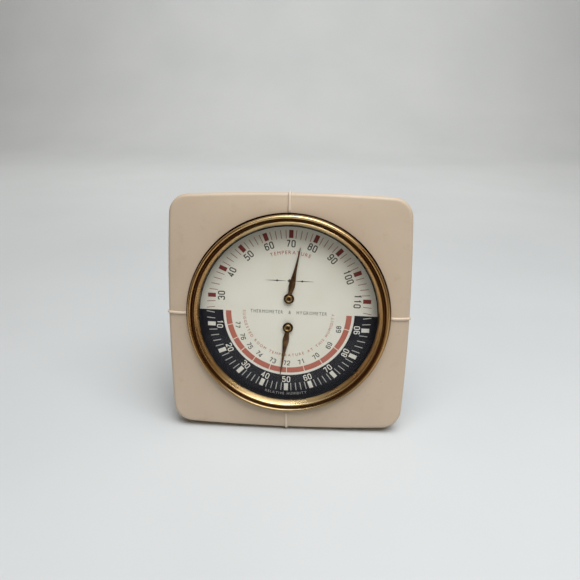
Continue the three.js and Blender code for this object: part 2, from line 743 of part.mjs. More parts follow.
function standSleeve() {
  const half = SLEEVE_LENGTH / 2;
  const sleeve = ring(WIRE_RADIUS + GAP, SLEEVE_RADIUS, -half, half, 16).rotateY(Math.PI / 2);
  return named("stand_foot_sleeve", sleeve.translate(0, -STAND_LENGTH, 0), rubber());
}

// ---- assembly ----
function buildCase() {
  const group = new THREE.Group();
  group.add(frontCase(), backPanel(), movementCan());
  BOSSES.forEach(([x, y], i) => group.add(panelScrew(`back_panel_screw_${i + 1}`, x, y)));
  CLIP_ANGLES.forEach((degrees, i) => {
    group.add(caseClip(`case_clip_${i + 1}`, degrees), clipScrew(`case_clip_screw_${i + 1}`, degrees));
  });
  return group;
}

function buildInstrument() {
  const group = new THREE.Group();
  group.rotation.z = DIAL_TURN;
  group.add(bezel(), crystal(), crystalGasket(), dialSpacer(), dialPlate());
  group.add(dialFoot("dial_foot_left", -20), dialFoot("dial_foot_right", 20));
  group.add(movementPlate(), rearBridge());
  POSTS.forEach(([x, y], i) => {
    group.add(movementPost(`movement_post_${i + 1}`, x, y), movementScrew(`movement_screw_${i + 1}`, x, y));
  });
  [PILLAR_AT, -PILLAR_AT].forEach((y, i) => {
    group.add(bridgePillar(`bridge_pillar_${i + 1}`, y), bridgeScrew(`bridge_screw_${i + 1}`, y));
  });
  const upLeft = THREE.MathUtils.degToRad(160);
  const downRight = THREE.MathUtils.degToRad(-20);
  group.add(sensingUnit("temperature", PIVOT, TEMPERATURE_ANGLE, upLeft));
  group.add(sensingUnit("humidity", -PIVOT, HUMIDITY_ANGLE, downRight));
  return group;
}

function buildStand() {
  const group = new THREE.Group();
  group.add(standBracket());
  group.add(bracketRivet("bracket_rivet_left", -RIVET_AT), bracketRivet("bracket_rivet_right", RIVET_AT));
  const leg = new THREE.Group();
  leg.position.set(0, HINGE_Y, HINGE_Z);
  leg.rotation.x = STAND_OPEN;
  leg.add(standWire(), standSleeve());
  group.add(leg);
  return group;
}

const tilted = new THREE.Group();
tilted.rotation.x = Math.PI / 2 - LEAN;
tilted.add(buildCase(), buildInstrument(), buildStand());

const hygrometer = new THREE.Group();
hygrometer.name = "dial_hygrometer";
hygrometer.add(tilted);
hygrometer.updateMatrixWorld(true);
const bounds = new THREE.Box3().setFromObject(hygrometer, true);
const middle = bounds.getCenter(new THREE.Vector3());
tilted.position.set(-middle.x, -middle.y, -bounds.min.z);

export default hygrometer;
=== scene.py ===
import json
import math

import bmesh
import bpy
from mathutils import Matrix, Vector


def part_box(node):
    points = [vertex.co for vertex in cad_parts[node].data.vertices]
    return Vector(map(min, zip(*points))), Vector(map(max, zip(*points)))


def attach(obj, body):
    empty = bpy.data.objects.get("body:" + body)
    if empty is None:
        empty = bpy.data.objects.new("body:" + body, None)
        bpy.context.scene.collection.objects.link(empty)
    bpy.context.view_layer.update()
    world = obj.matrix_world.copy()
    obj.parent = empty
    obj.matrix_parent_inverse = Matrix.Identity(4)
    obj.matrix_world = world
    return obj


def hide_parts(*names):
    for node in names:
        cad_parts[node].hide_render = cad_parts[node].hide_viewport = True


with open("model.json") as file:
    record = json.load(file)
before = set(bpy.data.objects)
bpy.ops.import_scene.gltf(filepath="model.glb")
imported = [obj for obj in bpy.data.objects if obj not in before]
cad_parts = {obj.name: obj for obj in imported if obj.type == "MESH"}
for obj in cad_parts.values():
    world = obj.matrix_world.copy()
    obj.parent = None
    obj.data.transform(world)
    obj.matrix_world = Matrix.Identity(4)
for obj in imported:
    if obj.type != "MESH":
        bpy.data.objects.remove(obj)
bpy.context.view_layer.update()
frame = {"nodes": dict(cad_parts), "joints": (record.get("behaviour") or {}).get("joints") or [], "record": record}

MM = 0.001
TURN = 2 * math.pi
scene = bpy.context.scene

# ---- the face frame, from the two pointer joints ----
joints = {joint["name"]: joint for joint in frame["joints"]}
upper_pivot = Vector(joints["temperature_reading"]["pos_m"])
lower_pivot = Vector(joints["humidity_reading"]["pos_m"])
outward = Vector(joints["temperature_reading"]["axis"]).normalized()
DIAL_Z = -7.0
PIVOT = (upper_pivot - lower_pivot).length / MM / 2


def basis(across, up, out, at):
    matrix = Matrix((across, up, out)).transposed().to_4x4()
    matrix.translation = at
    return matrix


face_centre = (upper_pivot + lower_pivot) / 2 - outward * DIAL_Z * MM
right = Vector((1, 0, 0))
FACE = basis(right, outward.cross(right), outward, face_centre)
dial_up = (upper_pivot - lower_pivot).normalized()
DIAL = basis(dial_up.cross(outward), dial_up, outward, face_centre)

# ---- the stand's frame: origin on the hinge, -Y down the wire ----
hinge = Vector(joints["stand_fold"]["pos_m"])
sleeve_low, sleeve_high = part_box("stand_foot_sleeve")
sleeve_centre = (sleeve_low + sleeve_high) / 2
stand_down = (sleeve_centre - hinge).normalized()
STAND = basis(right, -stand_down, right.cross(-stand_down), hinge)
STAND_LENGTH = (sleeve_centre - hinge).length / MM


def width_of(node):
    low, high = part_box(node)
    return (high.x - low.x) / MM


BEZEL_RADIUS = width_of("bezel") / 2
DIAL_RADIUS = width_of("dial_plate") / 2
CRYSTAL_RADIUS = width_of("crystal") / 2
CAN_RADIUS = width_of("movement_can") / 2
GROOVE_RADIUS = 47.25


# ---- Materials ----
class Nodes:
    """A material's node tree, with short ways to add and join nodes."""

    def __init__(self, name):
        self.material = bpy.data.materials.new(name)
        self.material.use_nodes = True
        self.tree = self.material.node_tree
        self.tree.nodes.clear()
        self.output = self.add("ShaderNodeOutputMaterial", {})
        self.place = self.made("ShaderNodeTexCoord", {}, "Object")

    def feed(self, value, target):
        """Gives an input a number, a colour, a vector or another node's output."""
        if isinstance(value, bpy.types.NodeSocket):
            self.tree.links.new(value, target)
        elif isinstance(value, tuple):
            target.default_value = (*value, 1) if target.type == "RGBA" else value
        else:
            target.default_value = value

    def add(self, kind, inputs, **settings):
        node = self.tree.nodes.new(kind)
        for key, value in settings.items():
            setattr(node, key, value)
        for key, value in inputs.items():
            self.feed(value, node.inputs[key])
        return node

    def made(self, kind, inputs, output=0, **settings):
        return self.add(kind, inputs, **settings).outputs[output]

    def surface(self, colour, roughness, metallic=0.0, specular=0.5):
        """Makes a principled shader the material's surface."""
        inputs = {"Base Color": colour, "Roughness": roughness, "Metallic": metallic}
        shader = self.add("ShaderNodeBsdfPrincipled", inputs | {"Specular IOR Level": specular})
        self.feed(shader.outputs[0], self.output.inputs["Surface"])
        return shader

    def noise(self, scale, detail=3.0, roughness=0.5, vector=None):
        inputs = {"Vector": vector or self.place, "Scale": scale, "Detail": detail, "Roughness": roughness}
        return self.made("ShaderNodeTexNoise", inputs, "Fac")

    def turning_marks(self, scale, detail, roughness):
        """Noise that changes only with the distance from the Z axis."""
        inputs = {"W": self.radius(), "Scale": scale, "Detail": detail, "Roughness": roughness}
        return self.made("ShaderNodeTexNoise", inputs, "Fac", noise_dimensions="1D")

    def cells(self, scale):
        """Cells in space: the distance from each one's middle, and a number of its own for each."""
        node = self.add("ShaderNodeTexVoronoi", {"Vector": self.place, "Scale": scale})
        return node.outputs["Distance"], self.made("ShaderNodeSeparateColor", {0: node.outputs["Color"]})

    def ramp(self, factor, low, high, colour_low, colour_high):
        """colour_low below the factor low, colour_high above high."""
        node = self.add("ShaderNodeValToRGB", {"Fac": factor})
        for element, position, colour in zip(node.color_ramp.elements, (low, high), (colour_low, colour_high)):
            element.position = position
            element.color = (*colour, 1)
        return node.outputs["Color"]

    def spread(self, value, low, high, to_low, to_high):
        """Maps low to high onto to_low to to_high, and holds the ends beyond them."""
        return self.made("ShaderNodeMapRange", {"Value": value, 1: low, 2: high, 3: to_low, 4: to_high}, "Result")

    def mix(self, share, first, second, blend="MIX"):
        inputs = {0: share, 6: first, 7: second}
        return self.made("ShaderNodeMix", inputs, 2, data_type="RGBA", blend_type=blend)

    def calc(self, operation, *values):
        return self.made("ShaderNodeMath", dict(enumerate(values)), operation=operation)

    def bump(self, height, strength, distance, shader, before=None):
        """Bumps up to a distance in millimetres; before is a bump that these lie on."""
        inputs = {"Height": height, "Strength": strength, "Distance": distance * MM}
        if before is not None:
            inputs["Normal"] = before
        normal = self.made("ShaderNodeBump", inputs, "Normal")
        self.feed(normal, shader.inputs["Normal"])
        return normal

    def stretched(self, *scale):
        return self.made("ShaderNodeMapping", {"Vector": self.place, "Scale": scale})

    def along(self, axis):
        return self.made("ShaderNodeSeparateXYZ", {0: self.place}, axis)

    def radius(self):
        """Distance from the Z axis."""
        flat = self.made("ShaderNodeVectorMath", {0: self.place, 1: (1, 1, 0)}, operation="MULTIPLY")
        return self.made("ShaderNodeVectorMath", {0: flat}, "Value", operation="LENGTH")


def rib_wear(n):
    """More than 0 on the four ribs, where a painted highlight makes the plastic lighter, patchy with noise."""
    nearest = n.calc("MINIMUM", n.calc("ABSOLUTE", n.along("X")), n.calc("ABSOLUTE", n.along("Y")))
    on_rib = n.spread(nearest, 0.5 * MM, 0.75 * MM, 0.62, 0.0)
    return n.calc("MULTIPLY", on_rib, n.spread(n.noise(210), 0.3, 0.6, 0.55, 1.0))


def case_plastic():
    """Satin beige moulding: faint clouding, a painted highlight on the ribs, dust specks and hairline scratches."""
    n = Nodes("case_plastic")
    clouds = n.ramp(n.noise(38, 4), 0.3, 0.75, (0.56, 0.445, 0.33), (0.605, 0.488, 0.366))
    grime = n.ramp(n.noise(160, 6, 0.7), 0.56, 0.8, (1, 1, 1), (0.9, 0.88, 0.85))
    # Painted highlight: the ribs are mixed towards a lighter beige.
    worn = n.mix(rib_wear(n), n.mix(1.0, clouds, grime, "MULTIPLY"), (0.78, 0.66, 0.54))
    distance, chance = n.cells(210)
    speck = n.calc("MULTIPLY", n.spread(distance, 0.03, 0.09, 0.55, 0.0), n.calc("GREATER_THAN", chance, 0.93))
    scratches = n.noise(420, 2, 0.4, n.stretched(1, 0.06, 1))
    roughness = n.spread(scratches, 0.35, 0.8, 0.47, 0.34)
    shader = n.surface(n.mix(speck, worn, (0.2, 0.13, 0.09)), roughness, specular=0.45)
    grain = n.bump(n.noise(2600, 2), 0.22, 0.03, shader)
    n.bump(n.noise(55, 2), 0.25, 0.25, shader, grain)
    return n.material


def bezel_brass():
    """Old polished brass, patchy in tone. Painted reflection and shade: browner and darker towards the left and
    right sides and on the outer bead towards the bottom, and a near-black painted shade along the outer rim and
    inner lip, strongest at the top. Darker in its groove.
    """
    n = Nodes("bezel_brass")
    patches = n.noise(50, 1)
    radius = n.radius()
    height = n.along("Y")
    # Painted reflection: the brass turns browner towards the left and right sides, standing in for a dim room
    # mirrored there.
    painted_side_reflection = n.spread(n.calc("ABSOLUTE", n.along("X")), 0.013, 0.036, 0.0, 0.92)
    bright = n.ramp(patches, 0.34, 0.66, (0.62, 0.45, 0.21), (0.70, 0.53, 0.28))
    base = n.mix(painted_side_reflection, bright, (0.50, 0.275, 0.085))
    # Painted shade: the outer bead is darkened towards the bottom.
    outer_bead = n.spread(radius, 0.0472, 0.0476, 0.0, 1.0)
    low = n.calc("MULTIPLY", n.spread(height, -0.040, -0.020, 0.62, 0.0), outer_bead)
    base = n.mix(low, base, (0.14, 0.095, 0.035))
    # Darker in and just beside the groove.
    from_groove = n.calc("ABSOLUTE", n.calc("SUBTRACT", radius, GROOVE_RADIUS * MM))
    base = n.mix(n.spread(from_groove, 0.0002, 0.0011, 0.92, 0.0), base, (0.13, 0.045, 0.012))
    # Painted shade: a near-black line along the outer rim and the inner lip, strongest towards the top, where the
    # coat is also taken off.
    at_rim = n.spread(radius, 0.04965, 0.04985, 0.0, 1.0)
    painted_rim_shade = n.calc("MULTIPLY", at_rim, n.spread(height, -0.020, 0.035, 0.35, 1.0))
    at_lip = n.spread(radius, 0.0446, 0.0452, 1.0, 0.0)
    lip = n.calc("MULTIPLY", at_lip, n.spread(height, -0.010, 0.020, 0.1, 0.95))
    # edges holds both painted shade lines together.
    edges = n.calc("MAXIMUM", painted_rim_shade, lip)
    shader = n.surface(n.mix(edges, base, (0.02, 0.009, 0.004)), n.spread(patches, 0.3, 0.75, 0.31, 0.24), 1.0)
    n.feed(n.spread(edges, 0.0, 1.0, 0.6, 0.0), shader.inputs["Coat Weight"])
    n.feed(0.2, shader.inputs["Coat Roughness"])
    turned_marks = n.bump(n.turning_marks(6000, 1, 0.4), 0.01, 0.005, shader)
    n.bump(n.noise(50, 1), 0.02, 0.05, shader, turned_marks)
    return n.material


def crystal_glass():
    """Flat glass: what is behind it shows straight through, with a reflection that grows as the view slants."""
    n = Nodes("crystal_glass")
    clear = n.made("ShaderNodeBsdfTransparent", {"Color": (0.995, 1.0, 0.995)})
    gloss = n.made("ShaderNodeBsdfGlossy", {"Roughness": 0.03})
    facing = n.made("ShaderNodeLayerWeight", {"Blend": 0.5}, "Facing")
    smear = n.spread(n.noise(60), 0.45, 0.75, 0.004, 0.010)
    share = n.calc("MULTIPLY_ADD", n.calc("POWER", facing, 5), 0.9, smear)
    n.feed(n.made("ShaderNodeMixShader", {0: share, 1: clear, 2: gloss}), n.output.inputs["Surface"])
    return n.material


def ink(name, colour, roughness=0.5, fade=0.82):
    """Printed ink that is a little thin in places."""
    n = Nodes(name)
    thin = tuple(min(1.0, channel * fade + 0.012) for channel in colour)
    shader = n.surface(n.ramp(n.noise(900, 4, 0.6), 0.35, 0.68, thin, colour), roughness, specular=0.25)
    n.bump(n.noise(4000, 1), 0.08, 0.01, shader)
    return n.material


def dial_enamel():
    """Cream dial with dust, and a painted shadow that darkens and browns it near its rim, most towards its upper
    edge.
    """
    n = Nodes("dial_enamel")
    base = n.ramp(n.noise(45, 4), 0.3, 0.72, (0.84, 0.80, 0.69), (0.91, 0.88, 0.79))
    dust = n.ramp(n.noise(1500, 3, 0.6), 0.62, 0.78, (1, 1, 1), (0.86, 0.83, 0.78))
    # Painted shadow of the bezel on the dial, strongest at the top.
    at_edge = n.spread(n.radius(), 0.036, 0.045, 0.0, 0.22)
    painted_top_shadow = n.calc("MULTIPLY", at_edge, n.spread(n.along("Y"), 0.0, 0.030, 0.25, 1.0))
    base_with_painted_shadow = n.mix(painted_top_shadow, base, (0.42, 0.34, 0.26))
    shader = n.surface(n.mix(1.0, base_with_painted_shadow, dust, "MULTIPLY"), 0.48)
    n.bump(n.noise(3500, 2), 0.12, 0.01, shader)
    return n.material


def metal(name, low, high, smooth, rough, scale, stretch=None):
    """Plain metal, patchy in colour and roughness; stretch draws the patches out into brushing."""
    n = Nodes(name)
    where = n.stretched(*stretch) if stretch else None
    patches = n.noise(scale, 5, 0.6, where)
    shader = n.surface(n.ramp(patches, 0.3, 0.7, low, high), n.spread(patches, 0.3, 0.7, rough, smooth), 1.0)
    n.bump(n.noise(scale * 12, 2, 0.5, where), 0.1, 0.03, shader)
    return n.material


def can_steel():
    """Zinc plate: faint spangle, drawing rings round the axis and some dulling."""
    n = Nodes("can_steel")
    _, tone = n.cells(420)
    base = n.ramp(tone, 0.0, 1.0, (0.55, 0.555, 0.545), (0.62, 0.62, 0.605))
    stain = n.ramp(n.noise(48, 5, 0.65), 0.5, 0.8, (1, 1, 1), (0.70, 0.63, 0.52))
    roughness = n.spread(n.noise(90, 4), 0.3, 0.7, 0.46, 0.28)
    shader = n.surface(n.mix(1.0, base, stain, "MULTIPLY"), roughness, 1.0)
    n.bump(n.turning_marks(2500, 2, 0.5), 0.16, 0.04, shader)
    return n.material


def fibreboard():
    """Dark hardboard with matted fibres."""
    n = Nodes("fibreboard")
    fibres = n.noise(900, 6, 0.75, n.stretched(1, 1, 0.3))
    base = n.ramp(fibres, 0.3, 0.72, (0.055, 0.032, 0.018), (0.17, 0.105, 0.062))
    shader = n.surface(base, n.spread(fibres, 0.3, 0.7, 0.88, 0.66))
    n.bump(fibres, 0.5, 0.08, shader)
    return n.material


def black_rubber():
    n = Nodes("black_rubber")
    worn = n.noise(420, 5, 0.6)
    base = n.ramp(worn, 0.35, 0.75, (0.004, 0.004, 0.004), (0.02, 0.019, 0.018))
    shader = n.surface(base, n.spread(worn, 0.3, 0.7, 0.62, 0.82), specular=0.25)
    n.bump(n.noise(3000, 2), 0.3, 0.03, shader)
    return n.material


def stage_paper():
    n = Nodes("stage_paper")
    n.surface(n.ramp(n.noise(5, 4), 0.3, 0.7, (0.605, 0.63, 0.635), (0.65, 0.67, 0.675)), 0.9)
    return n.material


# Darker tone, brighter tone, lowest roughness, highest roughness, scale of the patches and their stretch.
METALS = {
    "screw_steel": ((0.40, 0.39, 0.36), (0.66, 0.65, 0.62), 0.24, 0.45, 500),
    "pointer_bronze": ((0.10, 0.05, 0.022), (0.24, 0.135, 0.062), 0.3, 0.5, 420),
    "movement_brass": ((0.50, 0.33, 0.13), (0.72, 0.53, 0.26), 0.25, 0.42, 300),
    "wire_steel": ((0.44, 0.43, 0.41), (0.70, 0.69, 0.67), 0.2, 0.38, 350, (1, 0.15, 1)),
    "bimetal": ((0.36, 0.30, 0.22), (0.58, 0.50, 0.38), 0.28, 0.45, 600, (1, 1, 0.1)),
    "humidity_strip": ((0.50, 0.42, 0.26), (0.74, 0.66, 0.46), 0.3, 0.5, 600, (1, 1, 0.1)),
    "hub_brass": ((0.34, 0.19, 0.075), (0.72, 0.50, 0.24), 0.22, 0.4, 700),
    "hub_dark": ((0.035, 0.02, 0.01), (0.10, 0.06, 0.03), 0.4, 0.6, 700),
}
LOOKS = {
    "case_plastic": case_plastic(),
    "fibreboard": fibreboard(),
    "can_steel": can_steel(),
    "bezel_brass": bezel_brass(),
    "crystal_glass": crystal_glass(),
    "black_rubber": black_rubber(),
    "dial_enamel": dial_enamel(),
}
for name, values in METALS.items():
    LOOKS[name] = metal(name, *values)
for entry in frame["record"]["subparts"]:
    node = frame["nodes"][entry["node"]]
    node.data.materials.clear()
    node.data.materials.append(LOOKS[entry["material_slot"]])
for word in ("temperature", "humidity"):
    frame["nodes"][f"{word}_spindle"].data.materials[0] = LOOKS["hub_dark"]
INK_GREY = ink("ink_grey", (0.075, 0.07, 0.065))
INK_FINE_GREY = ink("ink_fine_grey", (0.10, 0.095, 0.09))
INK_RED = ink("ink_red", (0.26, 0.045, 0.035))
INK_FINE_RED = ink("ink_fine_red", (0.50, 0.085, 0.045))
INK_PINK = ink("ink_pink", (0.44, 0.20, 0.15))
INK_BAND = ink("ink_band", (0.54, 0.17, 0.12), 0.45, 0.9)
INK_NAVY = ink("ink_navy", (0.016, 0.016, 0.023), 0.32)
INK_WHITE = ink("ink_white", (0.90, 0.865, 0.79), 0.5, 0.9)
INK_DIM_WHITE = ink("ink_dim_white", (0.62, 0.605, 0.575), 0.5, 0.9)


# ---- Mesh helpers. A shape is a list of points and a list of faces ----
def mesh_of(name, shape):
    points, faces = shape
    mesh = bpy.data.meshes.new(name)
    mesh.from_pydata([Vector(p) * MM for p in points], [], faces)
    return mesh


def in_scene(name, data, matrix=None):
    made = bpy.data.objects.new(name, data)
    scene.collection.objects.link(made)
    if matrix is not None:
        made.matrix_world = matrix
    return made


def smooth_except(mesh, sharp):
    """Smooth shading, broken at edges sharper than an angle in degrees."""
    for polygon in mesh.polygons:
        polygon.use_smooth = True
    mesh.set_sharp_from_angle(angle=math.radians(sharp))


def place(name, shape, matrix, body, slot, sharp=32, look=None):
    """Makes a piece from a shape in the frame that matrix gives, and hangs it on a CAD body."""
    mesh = mesh_of(name, shape)
    cleaned = bmesh.new()
    cleaned.from_mesh(mesh)
    bmesh.ops.remove_doubles(cleaned, verts=cleaned.verts, dist=1e-7)
    bmesh.ops.recalc_face_normals(cleaned, faces=cleaned.faces)
    cleaned.to_mesh(mesh)
    cleaned.free()
    smooth_except(mesh, sharp)
    piece = in_scene(name, mesh, matrix)
    mesh.materials.append(look or LOOKS[slot])
    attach(piece, body)
    return piece


def arc(centre, size, start, stop, steps):
    """Points on an ellipse arc in a profile: centre (r, z), size (across, high), angles in degrees."""
    points = []
    for i in range(steps + 1):
        angle = math.radians(start + (stop - start) * i / steps)
        points.append((centre[0] + size[0] * math.cos(angle), centre[1] + size[1] * math.sin(angle)))
    return points


def turned(profile, segments, loop=True):
    """A body of revolution about Z. A looped profile closes on itself, another one starts and ends on the axis."""
    points = []
    starts = []
    for r, z in profile:
        starts.append((len(points), r > 1e-6))
        for i in range(segments if r > 1e-6 else 1):
            angle = TURN * i / segments
            points.append((r * math.cos(angle), r * math.sin(angle), z))
    faces = []
    pairs = list(zip(starts, starts[1:])) + ([(starts[-1], starts[0])] if loop else [])
    for (a, a_ring), (b, b_ring) in pairs:
        for i in range(segments):
            j = (i + 1) % segments
            if a_ring and b_ring:
                faces.append((a + i, a + j, b + j, b + i))
            elif a_ring:
                faces.append((a + i, a + j, b))
            elif b_ring:
                faces.append((a, b + j, b + i))
    return points, faces


def round_bar(radius, low, high, segments):
    return turned([(0, low), (radius, low), (radius, high), (0, high)], segments, loop=False)


def skin(rings, closed):
    """A skin over rings with the same number of points; closed joins the last ring to the first."""
    count = len(rings[0])
    faces = []
    for k in range(len(rings) if closed else len(rings) - 1):
        here = k * count
        there = (k + 1) % len(rings) * count
        for i in range(count):
            j = (i + 1) % count
            faces.append((here + i, here + j, there + j, there + i))
    return [p for ring in rings for p in ring], faces


def prism(outline, low, high):
    """A flat outline made solid between two heights."""
    count = len(outline)
    points = [(x, y, z) for z in (low, high) for x, y in outline]
    faces = [tuple(range(count)), tuple(range(2 * count - 1, count - 1, -1))]
    faces += [(i, (i + 1) % count, count + (i + 1) % count, count + i) for i in range(count)]
    return points, faces


def ribbon(path, width, low, high, closed=False):
    """A flat stroke of one width along a path of 2-D points, made solid."""
    count = len(path)
    sides = ([], [])
    for i, (x, y) in enumerate(path):
        steps = []
        if i > 0 or closed:
            steps.append(Vector((x - path[i - 1][0], y - path[i - 1][1])).normalized())
        if i < count - 1 or closed:
            after = path[(i + 1) % count]
            steps.append(Vector((after[0] - x, after[1] - y)).normalized())
        normal = sum((Vector((-s.y, s.x)) for s in steps), Vector((0, 0)))
        normal.normalize()
        lean = max(0.35, abs(normal.dot(Vector((-steps[0].y, steps[0].x)))))
        offset = normal * (width / 2 / lean)
        sides[0].append((x + offset.x, y + offset.y))
        sides[1].append((x - offset.x, y - offset.y))
    points = [(x, y, z) for z in (low, high) for side in sides for x, y in side]
    faces = []
    for i in range(count if closed else count - 1):
        j = (i + 1) % count
        faces.append((i, j, count + j, count + i))
        faces.append((2 * count + i, 3 * count + i, 3 * count + j, 2 * count + j))
        faces.append((i, 2 * count + i, 2 * count + j, j))
        faces.append((count + i, count + j, 3 * count + j, 3 * count + i))
    if not closed:
        last = count - 1
        faces.append((0, count, 3 * count, 2 * count))
        faces.append((last, 2 * count + last, 3 * count + last, count + last))
    return points, faces


def bend(before, corner, after, reach, steps):
    """A quadratic curve round a corner, which starts and ends reach away from it."""
    start = corner + (before - corner).normalized() * reach
    end = corner + (after - corner).normalized() * reach
    shares = [k / steps for k in range(steps + 1)]
    return [start * (1 - t) ** 2 + corner * 2 * t * (1 - t) + end * t ** 2 for t in shares]


def gather(shapes):
    """Joins several shapes into one."""
    points = []
    faces = []
    for some_points, some_faces in shapes:
        start = len(points)
        points += some_points
        faces += [tuple(i + start for i in face) for face in some_faces]
    return points, faces


def moved(shape, angle, x, y):
    """A shape turned about Z by angle (radians), then shifted."""
    cos, sin = math.cos(angle), math.sin(angle)
    points, faces = shape
    return [(x + px * cos - py * sin, y + px * sin + py * cos, pz) for px, py, pz in points], faces


def tube(path, radius):
    """A round wire along 3-D points, with flat ends."""
    sides = 20
    rings = []
    side = path[1] - path[0]
    side = side.normalized().orthogonal()
    for i, p in enumerate(path):
        ahead = (path[min(i + 1, len(path) - 1)] - path[max(i - 1, 0)]).normalized()
        side = (side - ahead * side.dot(ahead)).normalized()
        other = ahead.cross(side)
        angles = [TURN * k / sides for k in range(sides)]
        rings.append([tuple(p + (side * math.cos(a) + other * math.sin(a)) * radius) for a in angles])
    points, faces = skin(rings, closed=False)
    last = len(points) - sides
    faces.append(tuple(range(sides - 1, -1, -1)))
    faces.append(tuple(range(last, last + sides)))
    return points, faces


def apply_modifiers(piece):
    """Makes the modifiers' result the piece's own mesh."""
    bpy.context.view_layer.update()
    made = bpy.data.meshes.new_from_object(piece.evaluated_get(bpy.context.evaluated_depsgraph_get()))
    piece.modifiers.clear()
    piece.data = made
    smooth_except(made, 32)


def cut(piece, shape, matrix):
    """Takes shape away from piece for good."""
    cutter = in_scene("cutter", mesh_of("cutter", shape), matrix)
    modifier = piece.modifiers.new("cut", "BOOLEAN")
    modifier.operation = "DIFFERENCE"
    modifier.solver = "EXACT"
    modifier.object = cutter
    apply_modifiers(piece)
    bpy.data.objects.remove(cutter)


def bevelled(piece, width):
    modifier = piece.modifiers.new("bevel", "BEVEL")
    modifier.width = width * MM
    modifier.segments = 2
    modifier.limit_method = "ANGLE"
    modifier.angle_limit = math.radians(40)
    apply_modifiers(piece)


# ---- Case: bowed square outline, domed face, four raised ribs ----
CASE_HALF = 60.0
CASE_BOW = 1.93
CASE_CORNER = 10.0
CASE_DEPTH = 14.0
CASE_WALL = 2.4
CASE_DRAFT = 0.25
FACE_Z = -0.3
EDGE_DROP = 1.0
EDGE_ROUND = 2.0
RIB_HALF = 0.72
RIB_HEIGHT = 0.6975
RIB_FILLET = 0.035
CAN_HOLE = CAN_RADIUS + 0.8
PANEL_FRONT_Z = -11.2
PANEL_THICK = 1.4

side_radius = CASE_HALF ** 2 / (2 * CASE_BOW) + CASE_BOW / 2
side_centre = CASE_HALF - side_radius
corner_reach = side_radius - CASE_CORNER
corner_centre = (side_centre + math.sqrt(2 * corner_reach ** 2 - side_centre ** 2)) / 2
side_span = math.atan2(corner_centre, corner_centre - side_centre)

# Close to the middle of a side the points keep their distance from it on every ring, so a rib keeps its width.
RIB_STATIONS = [0, 0.22, 0.4, 0.52, 0.6, 0.66, 0.7, 0.76, 0.88, 1.15, 1.8]
OFF_RIB = math.inf
SIDE_STEPS = 12
CORNER_STEPS = 14
FACE_STEPS = 9
ROUND_STEPS = 8


def full_ring(at_offset, at_share, at_corner, z):
    """A ring from three functions: half a side's rib stations, the rest of that half as a share of its fan, and
    the corner as a share. Each point carries its distance from the side's middle and its side's number."""
    half = [at_offset(t) for t in RIB_STATIONS]
    half += [at_share(i / SIDE_STEPS) for i in range(1, SIDE_STEPS)]
    quarter = [(x, -y, t) for x, y, t in reversed(half[1:])] + half
    quarter += [at_corner(i / CORNER_STEPS) for i in range(CORNER_STEPS + 1)]
    ring = []
    for k, (cos, sin) in enumerate(((1, 0), (0, 1), (-1, 0), (0, -1))):
        ring += [(x * cos - y * sin, x * sin + y * cos, z, t, k) for x, y, t in quarter]
    return ring


def square_ring(inset, z):
    reach = side_radius - inset
    first = math.asin(RIB_STATIONS[-1] / reach)
    small = max(CASE_CORNER - inset, 0.5)

    def at_offset(t):
        return side_centre + math.sqrt(reach ** 2 - t ** 2), t, t

    def at_share(share):
        angle = first + (side_span - first) * share
        return side_centre + reach * math.cos(angle), reach * math.sin(angle), OFF_RIB

    def at_corner(share):
        angle = side_span + (math.pi / 2 - 2 * side_span) * share
        return corner_centre + small * math.cos(angle), corner_centre + small * math.sin(angle), OFF_RIB

    return full_ring(at_offset, at_share, at_corner, z)


def round_ring(radius, z):
    corner_x = corner_centre + CASE_CORNER * math.cos(side_span)
    corner_y = corner_centre + CASE_CORNER * math.sin(side_span)
    corner_angle = math.atan2(corner_y, corner_x)
    first = math.asin(RIB_STATIONS[-1] / radius)

    def at_angle(angle):
        return radius * math.cos(angle), radius * math.sin(angle), OFF_RIB

    def at_offset(t):
        return math.sqrt(radius ** 2 - t ** 2), t, t

    def at_share(share):
        return at_angle(first + (corner_angle - first) * share)

    def at_corner(share):
        return at_angle(corner_angle + (math.pi / 2 - 2 * corner_angle) * share)

    return full_ring(at_offset, at_share, at_corner, z)


def between(first, second, share, z):
    """A ring part of the way from one ring to another."""
    ring = []
    for (ax, ay, _, t, k), (bx, by, _, _, _) in zip(first, second):
        ring.append((ax + (bx - ax) * share, ay + (by - ay) * share, z, t, k))
    return ring


def rib_height(offset):
    """The rib's section: a rounded top that runs out into a small fillet."""
    if offset < RIB_HALF:
        return RIB_HEIGHT * (1 - (offset / RIB_HALF) ** 4.5) + RIB_FILLET
    return RIB_FILLET * max(0.0, 1 - (offset - RIB_HALF) / 0.5) ** 2


def raised(ring, outward_share, forward_share, amount=1):
    """Lifts the rib's points off the surface, outward from the case and forward from the face."""
    points = []
    for x, y, z, t, k in ring:
        lift = rib_height(t) * amount
        across = ((1, 0), (0, 1), (-1, 0), (0, -1))[k]
        out = lift * outward_share
        points.append((x + across[0] * out, y + across[1] * out, z + lift * forward_share))
    return points


def plain(ring):
    return [point[:3] for point in ring]


